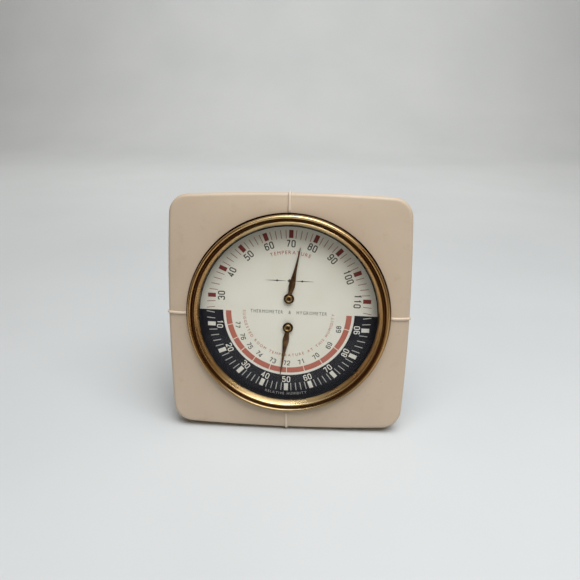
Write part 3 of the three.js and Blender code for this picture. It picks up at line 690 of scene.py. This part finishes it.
def case_rings():
    """From the hole's edge out over the face, down the side, round the back edge and in again underneath."""
    edge_z = FACE_Z - EDGE_DROP
    side_top = edge_z - EDGE_ROUND
    inside_z = FACE_Z - CASE_WALL
    back = -CASE_DEPTH
    hem = CASE_DRAFT + CASE_WALL
    hole = [(CAN_HOLE, FACE_Z - 0.25), (CAN_HOLE + 0.25, FACE_Z), (BEZEL_RADIUS - 0.4, FACE_Z)]
    rings = [plain(round_ring(*row)) for row in hole]
    plateau = round_ring(BEZEL_RADIUS + 0.6, FACE_Z)
    edge = square_ring(EDGE_ROUND, edge_z)
    rings.append(raised(plateau, 0, 1))
    for i in range(1, FACE_STEPS):
        share = i / FACE_STEPS
        rings.append(raised(between(plateau, edge, share, FACE_Z - EDGE_DROP * share ** 1.7), 0, 1))
    for i in range(ROUND_STEPS + 1):
        angle = math.pi / 2 * i / ROUND_STEPS
        ring = square_ring(EDGE_ROUND * (1 - math.sin(angle)), edge_z - EDGE_ROUND * (1 - math.cos(angle)))
        rings.append(raised(ring, math.sin(angle), math.cos(angle)))
    for depth, amount in ((0.8, 1), (1.6, 0.97), (2.2, 0.8), (2.7, 0.5), (3.1, 0.2), (3.5, 0)):
        ring = square_ring(CASE_DRAFT * depth / (CASE_DEPTH + side_top), side_top - depth)
        rings.append(raised(ring, 1, 0, amount))
    behind = [(CASE_DRAFT, back + 0.4), (CASE_DRAFT + 0.12, back + 0.12), (CASE_DRAFT + 0.4, back)]
    behind += [(hem - 0.3, back), (hem, back + 0.3)]
    behind += [(CASE_WALL + 0.2, inside_z - 2.2), (CASE_WALL + 0.8, inside_z - 1.3)]
    behind.append((CASE_WALL + 1.8, inside_z - 0.9))
    rings += [plain(square_ring(*row)) for row in behind]
    rings += [plain(round_ring(radius, inside_z)) for radius in (BEZEL_RADIUS + 1.5, CAN_HOLE)]
    return rings


def make_case():
    case = place("case_moulding", skin(case_rings(), closed=True), FACE, "case", "case_plastic", 40)
    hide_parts("front_case")


def make_back_panel():
    edge = CASE_DRAFT + CASE_WALL + 0.45
    back = PANEL_FRONT_Z - PANEL_THICK
    rings = [round_ring(CAN_HOLE, back + 0.2), round_ring(CAN_HOLE + 0.2, back)]
    rings += [square_ring(edge + 0.25, back), square_ring(edge, back + 0.25), square_ring(edge, PANEL_FRONT_Z)]
    rings.append(round_ring(CAN_HOLE, PANEL_FRONT_Z))
    board = skin([plain(ring) for ring in rings], closed=True)
    panel = place("back_board", board, FACE, "case", "fibreboard", 30)
    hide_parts("back_panel")


# ---- Bezel, crystal, dial and what shows around them ----
CRYSTAL_FRONT_Z = -1.4
CRYSTAL_THICK = 2.0
DIAL_THICK = 0.8
SPINDLE_HOLE = 2


def make_bezel():
    """Two beads with a groove between them, then a lip that slopes in to the crystal."""
    flange = BEZEL_RADIUS - 0.1
    lip_z = CRYSTAL_FRONT_Z + 0.3
    profile = [(flange - 0.1, 0.0), (flange, 0.1), (flange - 0.05, 0.26), (49.95, 0.36), (49.76, 0.5)]
    profile += arc((48.75, 1.25), (1.0, 1.75), -12, 168, 24)
    profile += [(47.62, 1.2), (47.42, 1.02), (47.1, 0.94), (46.82, 1.06), (46.7, 1.3)]
    profile += arc((46.12, 1.45), (0.52, 0.85), 12, 138, 12)
    profile += [(45.5, 1.72), (45.2, 1.2), (44.9, 0.55), (44.62, -0.15), (44.46, -0.7), (44.4, -0.95)]
    profile += [(44.5, lip_z), (CRYSTAL_RADIUS + 0.4, lip_z), (CRYSTAL_RADIUS + 0.7, 0.0)]
    ring = place("bezel_ring", turned(profile, 256), DIAL, "case", "bezel_brass", 50)
    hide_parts("bezel")


def make_crystal():
    front = CRYSTAL_FRONT_Z
    back = front - CRYSTAL_THICK
    edge = CRYSTAL_RADIUS
    profile = [(0, back), (edge - 0.3, back), (edge, back + 0.3), (edge, front - 0.45), (edge - 0.45, front)]
    profile.append((0, front))
    pane = place("crystal_pane", turned(profile, 192, loop=False), DIAL, "case", "crystal_glass", 25)
    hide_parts("crystal")


def make_inner_rings():
    gasket = turned(arc((46.1, -4.05), (0.6, 0.34), 0, 340, 18), 160)
    seal = turned(arc((44.18, -1.14), (0.2, 0.2), 0, 330, 11), 192)
    spacer = turned([(45.8, -6.68), (46.9, -6.68), (46.9, -4.75), (46.0, -4.75), (45.8, -4.95)], 192)
    piece = place("gasket_ring", gasket, DIAL, "case", "black_rubber", 60)
    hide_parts("crystal_gasket")
    place("crystal_seal", seal, DIAL, "case", "black_rubber", 60)
    piece = place("spacer_ring", spacer, DIAL, "case", "black_rubber", 30)
    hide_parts("dial_spacer_ring")


def make_dial():
    back = DIAL_Z - DIAL_THICK
    piece = place("dial_disc", round_bar(DIAL_RADIUS, back, DIAL_Z, 192), DIAL, "case", "dial_enamel", 30)
    hole = round_bar(SPINDLE_HOLE, back - 1, DIAL_Z + 1, 40)
    for side in (1, -1):
        cut(piece, moved(hole, 0, 0, side * PIVOT), DIAL)
    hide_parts("dial_plate")


# ---- printing on the dial: the lowest and highest height of the first ink, and of ink printed over it ----
INK_THICK = 0.025
FIRST = (DIAL_Z, DIAL_Z + INK_THICK)
OVER = (FIRST[1] + 0.003, FIRST[1] + 0.003 + INK_THICK)
DEGREES_PER_UNIT = 2.25
MARK_OUT = 41.8
BLOCK_IN = 37.9
BLOCK_WIDE = 2.1
WHITE_IN = 32.0
BAND_IN = 33.3


def temperature_way(value):
    """Direction from the upper pivot to a temperature on the scale: 70 is straight up."""
    angle = math.radians((value - 70) * DEGREES_PER_UNIT)
    return Vector((math.sin(angle), math.cos(angle)))


def humidity_way(value):
    """Direction from the lower pivot to a relative humidity: 50 is straight down."""
    angle = math.radians((value - 50) * DEGREES_PER_UNIT)
    return Vector((math.sin(angle), -math.cos(angle)))


def on_ring(way, pivot_y, radius):
    """Where a line from a pivot meets a ring about the dial's centre."""
    along = pivot_y * way.y
    reach = -along + math.sqrt(along ** 2 - pivot_y ** 2 + radius ** 2)
    return Vector((0, pivot_y)) + way * reach


def mark(way, pivot_y, inner, width, layer):
    start = on_ring(way, pivot_y, inner)
    end = on_ring(way, pivot_y, MARK_OUT)
    side = Vector((-way.y, way.x)) * width / 2
    return prism([tuple(c) for c in (start - side, end - side, end + side, start + side)], *layer)


def sector(inner, outer, start, stop):
    """A piece of a flat ring, angles in degrees about the dial's centre."""
    steps = max(2, int(abs(stop - start) / 1.5))
    edge = arc((0, 0), (inner, inner), start, stop, steps) + arc((0, 0), (outer, outer), stop, start, steps)
    points = [(x, y, z) for z in FIRST for x, y in edge]
    count = len(edge)
    faces = []
    for i in range(steps):
        mirror = count - 1 - i
        faces.append((i, i + 1, mirror - 1, mirror))
        faces.append((count + i, count + mirror, count + mirror - 1, count + i + 1))
    faces += [(i, count + i, count + (i + 1) % count, (i + 1) % count) for i in range(count)]
    return points, faces


def printed(name, shapes, look):
    return place(name, gather(shapes), DIAL, "case", "dial_enamel", 30, look)


# Digits as strokes in a box one wide and one high: (points, closed), with a corner radius after each point.
DIGITS = {
    "0": [([(0, 0, 0.4), (1, 0, 0.4), (1, 1, 0.4), (0, 1, 0.4)], True)],
    "1": [([(0.22, 0.8, 0), (0.6, 1, 0), (0.6, 0, 0)], False)],
    "2": [([(0, 0.74, 0), (0, 1, 0.4), (1, 1, 0.4), (1, 0.58, 0.2), (0, 0.12, 0.1), (0, 0, 0), (1, 0, 0)], False)],
    "3": [([(0, 0.78, 0), (0, 1, 0.4), (1, 1, 0.4), (1, 0.54, 0.3), (0.4, 0.54, 0)], False),
          ([(0.5, 0.54, 0), (1, 0.54, 0.3), (1, 0, 0.4), (0, 0, 0.4), (0, 0.22, 0)], False)],
    "4": [([(0.74, 0, 0), (0.74, 1, 0), (0, 0.27, 0), (1.04, 0.27, 0)], False)],
    "5": [([(0.95, 1, 0), (0.08, 1, 0), (0.05, 0.57, 0), (1, 0.6, 0.4), (1, 0, 0.4), (0, 0, 0.4), (0, 0.2, 0)],
           False)],
    "6": [([(0, 0, 0.4), (1, 0, 0.4), (1, 0.58, 0.36), (0, 0.58, 0.3)], True),
          ([(0.98, 0.8, 0), (0.98, 1, 0.4), (0, 1, 0.4), (0, 0.3, 0)], False)],
    "7": [([(0, 1, 0), (1, 1, 0.1), (0.36, 0, 0)], False)],
    "8": [([(0, 0, 0.4), (1, 0, 0.4), (1, 0.53, 0.3), (0, 0.53, 0.3)], True),
          ([(0.05, 0.53, 0.3), (0.95, 0.53, 0.3), (0.95, 1, 0.38), (0.05, 1, 0.38)], True)],
    "9": [([(0, 0.42, 0.36), (1, 0.42, 0.3), (1, 1, 0.4), (0, 1, 0.4)], True),
          ([(1, 0.7, 0), (1, 0, 0.4), (0.02, 0, 0.4), (0.02, 0.2, 0)], False)],
}
STROKE = 0.15
DIGIT_GAP = 0.14


def rounded(corners, closed, width, height):
    """The stroke's centre line in real size, its corners rounded by short curves."""
    points = []
    count = len(corners)
    spots = [Vector((x * width, y * height)) for x, y, _ in corners]
    for i, (_, _, radius) in enumerate(corners):
        if radius == 0 or not (closed or 0 < i < count - 1):
            points.append(spots[i])
            continue
        before, here, after = spots[i - 1], spots[i], spots[(i + 1) % count]
        reach = min(radius * width * 1.15, (before - here).length * 0.5, (after - here).length * 0.5)
        points += bend(before, here, after, reach, 5)
    kept = [points[0]]
    for point in points[1:]:
        if (point - kept[-1]).length > 1e-4:
            kept.append(point)
    if closed and (kept[0] - kept[-1]).length < 1e-4:
        kept.pop()
    return [tuple(p) for p in kept]


def number(text, height, aspect, layer):
    """A number in stroke digits, centred on the origin, reading along +X."""
    line = STROKE * height
    digit_width = aspect * height
    shapes = []
    advance = digit_width + DIGIT_GAP * height
    start = -(len(text) * advance - DIGIT_GAP * height) / 2
    for i, digit in enumerate(text):
        for corners, closed in DIGITS[digit]:
            path = rounded(corners, closed, digit_width - line, height - line)
            stroke = ribbon(path, line, *layer, closed)
            shapes.append(moved(stroke, 0, start + i * advance + line / 2, -height / 2 + line / 2))
    return gather(shapes)


CAP_HEIGHT = 0.729  # of a capital in Blender's own font, at size one
SPACE_WIDTH = 0.42
letter_store = {}


def letter(character):
    """(points, faces, width) of a letter of height one, thin and solid."""
    if character not in letter_store:
        curve = bpy.data.curves.new("letter", "FONT")
        curve.body = character
        curve.resolution_u = 3
        curve.extrude = 0.5
        holder = in_scene("letter", curve)
        bpy.context.view_layer.update()
        evaluated = holder.evaluated_get(bpy.context.evaluated_depsgraph_get())
        mesh = evaluated.to_mesh()
        points = [(v.co.x / CAP_HEIGHT, v.co.y / CAP_HEIGHT, v.co.z) for v in mesh.vertices]
        faces = [tuple(p.vertices) for p in mesh.polygons]
        evaluated.to_mesh_clear()
        bpy.data.objects.remove(holder)
        low = min(x for x, _, _ in points)
        wide = max(x for x, _, _ in points) - low
        letter_store[character] = ([(x - low, y, z) for x, y, z in points], faces, wide)
    return letter_store[character]


def lettering(text, height, spacing, stretch, layer, arch=None):
    """Words in small capitals, on a straight line centred on the origin or round the dial's centre: a positive
    arch is the radius of a line above it with tops outward, a negative one of a line below it, tops inward."""
    low, high = layer
    gap = spacing * height
    widths = []
    for character in text:
        widths.append(SPACE_WIDTH * height if character == " " else letter(character)[2] * height * stretch)
    shapes = []
    at = -(sum(widths) + gap * (len(text) - 1)) / 2
    for character, wide in zip(text, widths):
        if character != " ":
            points, faces, _ = letter(character)
            flat = []
            for x, y, z in points:
                flat.append((x * height * stretch - wide / 2, (y - 0.5) * height, low if z < 0 else high))
            middle = at + wide / 2
            if arch is None:
                shapes.append(moved((flat, faces), 0, middle, 0))
            else:
                angle = middle / arch
                shapes.append(moved((flat, faces), -angle, arch * math.sin(angle), arch * math.cos(angle)))
        at += wide + gap
    return gather(shapes)


def print_numbers(name, labels, pivot_y, ring, height, aspect, inward, layer, look):
    """Numbers round a scale, each turned to its pivot; inward puts their tops towards the centre."""
    shapes = []
    for value, way in labels:
        spot = on_ring(way, pivot_y, ring)
        top = -way if inward else way
        angle = math.atan2(top.y, top.x) - math.pi / 2
        shapes.append(moved(number(str(value), height, aspect, layer), angle, spot.x, spot.y))
    printed(name, shapes, look)


def print_marks(word, values, way_of, pivot_y, fine_in, fine_width, layer, fine_look, look):
    """Fine marks every two units and blocks every ten."""
    fine = [mark(way_of(value), pivot_y, fine_in, fine_width, layer) for value in values if value % 10]
    blocks = [mark(way_of(value), pivot_y, BLOCK_IN, BLOCK_WIDE, layer) for value in values if value % 10 == 0]
    printed(f"print_{word}_marks", fine, fine_look)
    printed(f"print_{word}_blocks", blocks, look)


def print_temperature_scale():
    print_marks("temperature", range(26, 115, 2), temperature_way, PIVOT, 37.6, 0.33, FIRST, INK_PINK, INK_RED)
    labels = [(value, temperature_way(value)) for value in range(30, 111, 10)]
    print_numbers("print_temperature_numerals", labels, PIVOT, 35.1, 3.65, 0.56, False, FIRST, INK_GREY)
    word = lettering("TEMPERATURE", 1.85, 0.36, 0.96, FIRST, 30.8)
    printed("print_temperature_word", [word], INK_FINE_RED)


def print_humidity_scale():
    printed("print_dark_band", [sector(BAND_IN, DIAL_RADIUS - 0.1, 180, 360)], INK_NAVY)
    printed("print_white_ring", [sector(WHITE_IN, BAND_IN - 0.02, 180, 360)], INK_WHITE)
    print_marks("humidity", range(6, 95, 2), humidity_way, -PIVOT, 37.7, 0.4, OVER, INK_DIM_WHITE, INK_WHITE)
    labels = [(value, humidity_way(value)) for value in range(10, 91, 10)]
    print_numbers("print_humidity_numerals", labels, -PIVOT, 35.7, 3.16, 0.6, True, OVER, INK_WHITE)
    words = lettering("RELATIVE HUMIDITY", 1.35, 0.34, 1.0, OVER, -43.5)
    printed("print_humidity_words", [words], INK_DIM_WHITE)


# The room temperature suggested at each relative humidity: (degrees, relative humidity it is printed at).
COMFORT = [(77, 10), (76, 16.7), (75, 23.1), (74, 30.6), (73, 40.3), (72, 50), (71, 59.9), (70, 70), (69, 80),
           (68, 90)]
COMFORT_IN = 29.2
COMFORT_HALF_GAP = 0.34


def print_comfort_scale():
    """A band with a gap at each number."""
    labels = [(degrees, humidity_way(humidity)) for degrees, humidity in COMFORT]
    gaps = [on_ring(way, -PIVOT, (COMFORT_IN + WHITE_IN) / 2) for _, way in labels]
    angles = [math.degrees(math.atan2(spot.y, spot.x)) % 360 for spot in gaps]
    edges = [180.4]
    for angle in angles:
        edges += [angle - COMFORT_HALF_GAP, angle + COMFORT_HALF_GAP]
    edges.append(359.6)
    band = [sector(COMFORT_IN, WHITE_IN - 0.02, edges[i], edges[i + 1]) for i in range(0, len(edges), 2)]
    printed("print_comfort_band", band, INK_BAND)
    print_numbers("print_comfort_numerals", labels, -PIVOT, 26.8, 2.6, 0.6, True, FIRST, INK_GREY)
    words = lettering("SUGGESTED ROOM TEMPERATURE AT THIS HUMIDITY", 1.45, 0.47, 1.02, FIRST, -22.5)
    printed("print_comfort_words", [words], INK_FINE_RED)


def print_centre():
    """The instrument's name and a plain ornament of tapering lines and three small diamonds."""
    words = lettering("THERMOMETER  &  HYGROMETER", 1.8, 0.26, 0.8, FIRST)
    printed("print_centre_words", [moved(words, 0, 0, 0.25)], INK_FINE_GREY)
    under = [(1.8, -0.05), (5.6, -0.19), (7.0, -0.19), (12.2, -0.04)]
    line = under + [(x, -y) for x, y in reversed(under)]
    shapes = [prism(line, *FIRST), prism([(-x, y) for x, y in line], *FIRST)]
    for x, half_wide, half_high in ((0, 1.2, 0.95), (-6.3, 0.75, 0.6), (6.3, 0.75, 0.6)):
        diamond = [(x + half_wide, 0), (x, half_high), (x - half_wide, 0), (x, -half_high)]
        shapes.append(prism(diamond, *FIRST))
    printed("print_ornament", [moved(shape, 0, 0, 16.4) for shape in shapes], INK_GREY)


# ---- Pointers ----
POINTER_Z = -6.45
POINTER_SHEET = 0.25
HUB_Z = -5.9
HUB_BORE = 1.2
SPINDLE_COLLAR = 0.94
# How far each pointer stands from straight up or straight down at rest, in degrees.
TEMPERATURE_LEAN = 10.6
HUMIDITY_LEAN = 7.1
# The blade: (distance from its pivot, half its width).
LANCE = [(1.6, 1.02), (3.0, 1.06), (4.6, 1.33), (6.0, 1.55), (7.0, 1.58), (8.4, 1.46), (11.0, 1.1),
         (13.6, 0.8), (16.5, 0.58), (20.0, 0.44), (23.5, 0.3), (26.0, 0.16), (26.3, 0.07)]


def spline(stations, steps):
    """Smooth in-between values through (distance, half width) stations."""
    made = []
    for i in range(len(stations) - 1):
        around = [stations[max(i - 1, 0)], stations[i], stations[i + 1], stations[min(i + 2, len(stations) - 1)]]
        for k in range(steps):
            t = k / steps
            values = []
            for p0, p1, p2, p3 in zip(*around):
                values.append(0.5 * (2 * p1 + (p2 - p0) * t + (2 * p0 - 5 * p1 + 4 * p2 - p3) * t ** 2
                                     + (3 * p1 - p0 - 3 * p2 + p3) * t ** 3))
            made.append(tuple(values))
    made.append(stations[-1])
    return made


def make_pointer(word, pivot_y, angle):
    """A ridged blade on a round root, and its hub."""
    body = f"{word}_movement"
    rings = []
    for reach, half in spline(LANCE, 4):
        section = [(-half, 0.0), (0.0, half * 0.3), (half, 0.0)]
        section += [(across, z + POINTER_SHEET) for across, z in reversed(section)]
        rings.append([(reach, across, POINTER_Z + z) for across, z in section])
    points, faces = skin(rings, closed=False)
    last = len(points) - 6
    faces += [(0, 5, 4, 1), (1, 4, 3, 2)]
    faces += [(last, last + 1, last + 4, last + 5), (last + 1, last + 2, last + 3, last + 4)]
    matrix = DIAL @ Matrix.Translation((0, pivot_y * MM, 0)) @ Matrix.Rotation(angle, 4, "Z")
    blade = place(f"{word}_pointer_blade", (points, faces), matrix, body, "pointer_bronze", 12)
    top = POINTER_Z + POINTER_SHEET
    root = turned([(HUB_BORE, POINTER_Z), (2.5, POINTER_Z), (2.5, top), (HUB_BORE, top)], 48)
    disc = place(f"{word}_pointer_root", root, matrix, body, "pointer_bronze")
    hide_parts(f"{word}_pointer")
    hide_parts(f"{word}_pointer")
    make_hub(word, matrix, body)


def make_hub(word, matrix, body):
    """A turned boss: a dark flange with a bright raised ring round the spindle's end."""
    profile = [(HUB_BORE, HUB_Z), (2.55, HUB_Z), (2.65, HUB_Z + 0.1), (2.65, HUB_Z + 0.4), (2.5, HUB_Z + 0.55)]
    profile += [(2.2, HUB_Z + 0.58), (2.05, HUB_Z + 0.48), (HUB_BORE, HUB_Z + 0.48)]
    piece = place(f"{word}_hub_flange", turned(profile, 64), matrix, body, "movement_brass", 40, LOOKS["hub_dark"])
    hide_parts(f"{word}_pointer_hub")
    collar = arc((SPINDLE_COLLAR + 0.4, HUB_Z + 0.85), (0.4, 0.36), 300, 480, 12)
    collar = [(SPINDLE_COLLAR, HUB_Z + 0.5)] + collar + [(SPINDLE_COLLAR, HUB_Z + 0.95)]
    piece = place(f"{word}_hub_collar", turned(collar, 64), matrix, body, "movement_brass", 50, LOOKS["hub_brass"])
    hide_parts(f"{word}_pointer_hub")


# ---- Back: can, screws, bracket and stand ----
CAN_BACK_Z = -24.0
CAN_FLOOR_Z = -23.2
VENTS = 10
VENT_RING = 33.0
VENT_RADIUS = 1.9


def make_can():
    """A drawn can with a raised step and a bead in its back, and vent holes."""
    r = CAN_RADIUS
    profile = [(0, CAN_BACK_Z + 0.25), (19.6, CAN_BACK_Z + 0.25), (20.2, CAN_BACK_Z), (27.2, CAN_BACK_Z)]
    profile += [(27.8, CAN_BACK_Z + 0.28), (28.6, CAN_BACK_Z + 0.28), (29.2, CAN_BACK_Z)]
    profile += arc((r - 1.6, CAN_BACK_Z + 1.6), (1.6, 1.6), 270, 360, 10)
    profile += [(r, -2.4), (r, -0.3), (r - 0.6, -0.3), (r - 0.6, CAN_FLOOR_Z + 1.2)]
    profile += arc((r - 1.8, CAN_FLOOR_Z + 1.2), (1.2, 1.2), 0, -90, 6)
    profile += [(0, CAN_FLOOR_Z)]
    can = place("can_shell", turned(profile, 192, loop=False), FACE, "case", "can_steel", 35)
    vent = round_bar(VENT_RADIUS, CAN_BACK_Z - 1, CAN_FLOOR_Z + 1, 32)
    for i in range(VENTS):
        angle = TURN * (i + 0.5) / VENTS
        cut(can, moved(vent, 0, VENT_RING * math.cos(angle), VENT_RING * math.sin(angle)), FACE)
    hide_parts("movement_can")


def make_panel_screws():
    """Slotted round-head screws in the corners of the back panel."""
    seat = PANEL_FRONT_Z - PANEL_THICK - 0.3
    head = arc((0, seat), (2.4, 1.15), 270, 360, 12)
    profile = [(0, seat - 1.15)] + head[1:] + [(0.9, seat), (0.9, seat + 5.9), (0, seat + 6.5)]
    slot = prism([(-3, -0.28), (3, -0.28), (3, 0.28), (-3, 0.28)], seat - 2, seat - 0.62)
    for i in range(4):
        low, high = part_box(f"back_panel_screw_{i + 1}")
        centre = FACE.inverted() @ ((low + high) / 2)
        matrix = FACE @ Matrix.Translation((centre.x, centre.y, 0)) @ Matrix.Rotation(0.5 + 1.1 * i, 4, "Z")
        shape = turned(profile, 40, loop=False)
        screw = place(f"panel_screw_{i + 1}", shape, matrix, "case", "screw_steel", 40)
        cut(screw, slot, matrix)
        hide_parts(f"back_panel_screw_{i + 1}")


HINGE_Y = 8.0
HINGE_Z = -27.5
BRACKET_FRONT_Z = -24.3
BRACKET_HALF = 20.0
BRACKET_SHEET = 1.0
EAR_Z = -30.5
RIVET_X = 10


def make_bracket():
    """A channel of sheet with the hinge's bores through its ears."""
    half = BRACKET_HALF - BRACKET_SHEET / 2
    middle = BRACKET_FRONT_Z - BRACKET_SHEET / 2
    bow = 1.3
    path = [(-half, EAR_Z)]
    path += arc((-half + bow, middle - bow), (bow, bow), 180, 90, 6)
    path += arc((half - bow, middle - bow), (bow, bow), 90, 0, 6)
    path += [(half, EAR_Z)]
    points, faces = ribbon(path, BRACKET_SHEET, -5, 5)
    channel = [(x, HINGE_Y - depth, z) for x, z, depth in points], faces
    bracket = place("bracket_channel", channel, FACE, "case", "screw_steel", 30)
    points, faces = round_bar(1.5, -24, 24, 32)
    cut(bracket, ([(z, HINGE_Y + y, HINGE_Z - x) for x, y, z in points], faces), FACE)
    bevelled(bracket, 0.18)
    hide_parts("stand_bracket")


def make_rivets():
    """Domed heads behind the bracket, spread out again inside the can."""
    head_z = BRACKET_FRONT_Z - 1.3
    floor = CAN_FLOOR_Z
    profile = [(0, head_z - 1)] + arc((0, head_z), (2.1, 1.0), 270, 360, 10)[1:]
    profile += [(0.9, head_z), (0.9, floor + 0.3), (1.9, floor + 0.3), (1.6, floor + 0.9), (0, floor + 1)]
    for side, x in (("left", -RIVET_X), ("right", RIVET_X)):
        matrix = FACE @ Matrix.Translation((x * MM, HINGE_Y * MM, 0))
        rivet = place(f"rivet_{side}", turned(profile, 40, loop=False), matrix, "case", "screw_steel")
        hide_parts(f"bracket_rivet_{side}")


def make_stand():
    """A wire loop that widens to its foot, with its ends bent in to the hinge."""
    inner, top, foot = 17.0, 24.0, 31.0
    corners = [Vector((x, 0, 0)) for x in (-inner, -top)]
    corners += [Vector((x, -STAND_LENGTH, 0)) for x in (-foot, foot)]
    corners += [Vector((x, 0, 0)) for x in (top, inner)]
    path = [corners[0]]
    for i in range(1, 5):
        path += bend(*corners[i - 1:i + 2], 5.0, 10)
    path.append(corners[-1])
    wire = place("stand_leg_wire", tube(path, 1.2), STAND, "stand", "wire_steel", 45)
    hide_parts("stand_wire")


def make_foot_sleeve():
    """A rubber tube with grooves round it."""
    half = width_of("stand_foot_sleeve") / 2
    outer, groove = 2.46, 2.28
    profile = [(1.5, -half + 0.3), (1.8, -half), (2.1, -half), (2.45, -half + 0.35), (outer, -half + 0.8)]
    grooves = 9
    for i in range(grooves):
        middle = -half + 2.2 + (2 * half - 4.4) * i / (grooves - 1)
        profile += [(outer, middle - 0.5), (groove, middle - 0.25), (groove, middle + 0.25), (outer, middle + 0.5)]
    profile += [(outer, half - 0.8), (2.45, half - 0.35), (2.1, half), (1.8, half), (1.5, half - 0.3)]
    points, faces = turned(profile, 48)
    shape = [(z, y - STAND_LENGTH, -x) for x, y, z in points], faces
    sleeve = place("foot_sleeve", shape, STAND, "stand", "black_rubber", 50)
    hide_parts("stand_foot_sleeve")


# ---- Stage, lights and camera ----
def make_stage():
    """A table that widens to the back and sweeps up into a backdrop, in metres. Past its edges the room is dim,
    which is what the sides of the bezel mirror."""
    rows = [(-0.42, 0.0, 0.46), (0.2, 0.0, 0.5), (0.6, 0.0, 1.3), (1.0, 0.0, 1.9)]
    rise = 0.6
    for i in range(1, 17):
        angle = math.pi / 2 * i / 16
        rows.append((1.0 + rise * math.sin(angle), rise * (1 - math.cos(angle)), 1.9))
    rows.append((1.6, 1.6, 1.9))
    points = [(side * half, y, z) for side in (-1, 1) for y, z, half in rows]
    count = len(rows)
    mesh = bpy.data.meshes.new("stage_sweep")
    mesh.from_pydata(points, [], [(i, i + 1, count + i + 1, count + i) for i in range(count - 1)])
    smooth_except(mesh, 60)
    sweep = in_scene("stage_sweep", mesh)
    mesh.materials.append(stage_paper())


def area_light(name, at, size, power, colour, target=(0, 0, 0.06)):
    light = bpy.data.lights.new(name, "AREA")
    light.shape = "RECTANGLE"
    light.size, light.size_y = size
    light.energy = power
    light.color = colour
    holder = in_scene(name, light)
    holder.location = at
    holder.rotation_euler = (Vector(target) - Vector(at)).to_track_quat("-Z", "Y").to_euler()


def make_lights():
    """Three soft lights, and a room that is warm and dim but looks plain grey behind the stage."""
    world = bpy.data.worlds.new("studio")
    world.use_nodes = True
    nodes, links = world.node_tree.nodes, world.node_tree.links
    room = nodes["Background"]
    room.inputs["Color"].default_value = (1.0, 0.74, 0.54, 1)
    room.inputs["Strength"].default_value = 0.10
    backdrop = nodes.new("ShaderNodeBackground")
    backdrop.inputs["Color"].default_value = (0.52, 0.53, 0.53, 1)
    either = nodes.new("ShaderNodeMixShader")
    links.new(nodes.new("ShaderNodeLightPath").outputs["Is Camera Ray"], either.inputs[0])
    links.new(room.outputs[0], either.inputs[1])
    links.new(backdrop.outputs[0], either.inputs[2])
    links.new(either.outputs[0], nodes["World Output"].inputs["Surface"])
    scene.world = world
    area_light("overhead", (0.2, -0.2, 0.85), (0.6, 0.9), 8.2, (0.96, 0.985, 1.0))
    area_light("front_fill", (-0.1, -0.72, 1.45), (1.5, 0.6), 7.3, (0.97, 0.985, 1.0))
    area_light("back_wash", (0.0, 0.6, 0.9), (1.6, 0.5), 8.5, (1.0, 1.0, 0.98), (-0.1, 1.6, 0.35))


# The camera in the face frame: its place, its turn as an axis times an angle, and its lens.
CAMERA_AT = Vector((13.27, 65.02, 248.10))
CAMERA_TURN = Vector((-0.2051, 0.0515, 0.0227))
LENS = 32.276


def make_camera():
    data = bpy.data.cameras.new("camera")
    data.sensor_width = 36.0
    data.lens = LENS
    data.clip_start = 0.01
    turn = Matrix.Rotation(CAMERA_TURN.length, 4, CAMERA_TURN)
    scene.camera = in_scene("camera", data, FACE @ Matrix.Translation(CAMERA_AT * MM) @ turn)


make_camera()
make_case()
make_back_panel()
make_bezel()
make_crystal()
make_inner_rings()
make_dial()
print_temperature_scale()
print_humidity_scale()
print_comfort_scale()
print_centre()
make_pointer("temperature", PIVOT, math.radians(90 - TEMPERATURE_LEAN))
make_pointer("humidity", -PIVOT, math.radians(-90 - HUMIDITY_LEAN))
make_can()
make_panel_screws()
make_bracket()
make_rivets()
make_stand()
make_foot_sleeve()
make_stage()
make_lights()
scene.view_settings.view_transform = "Standard"
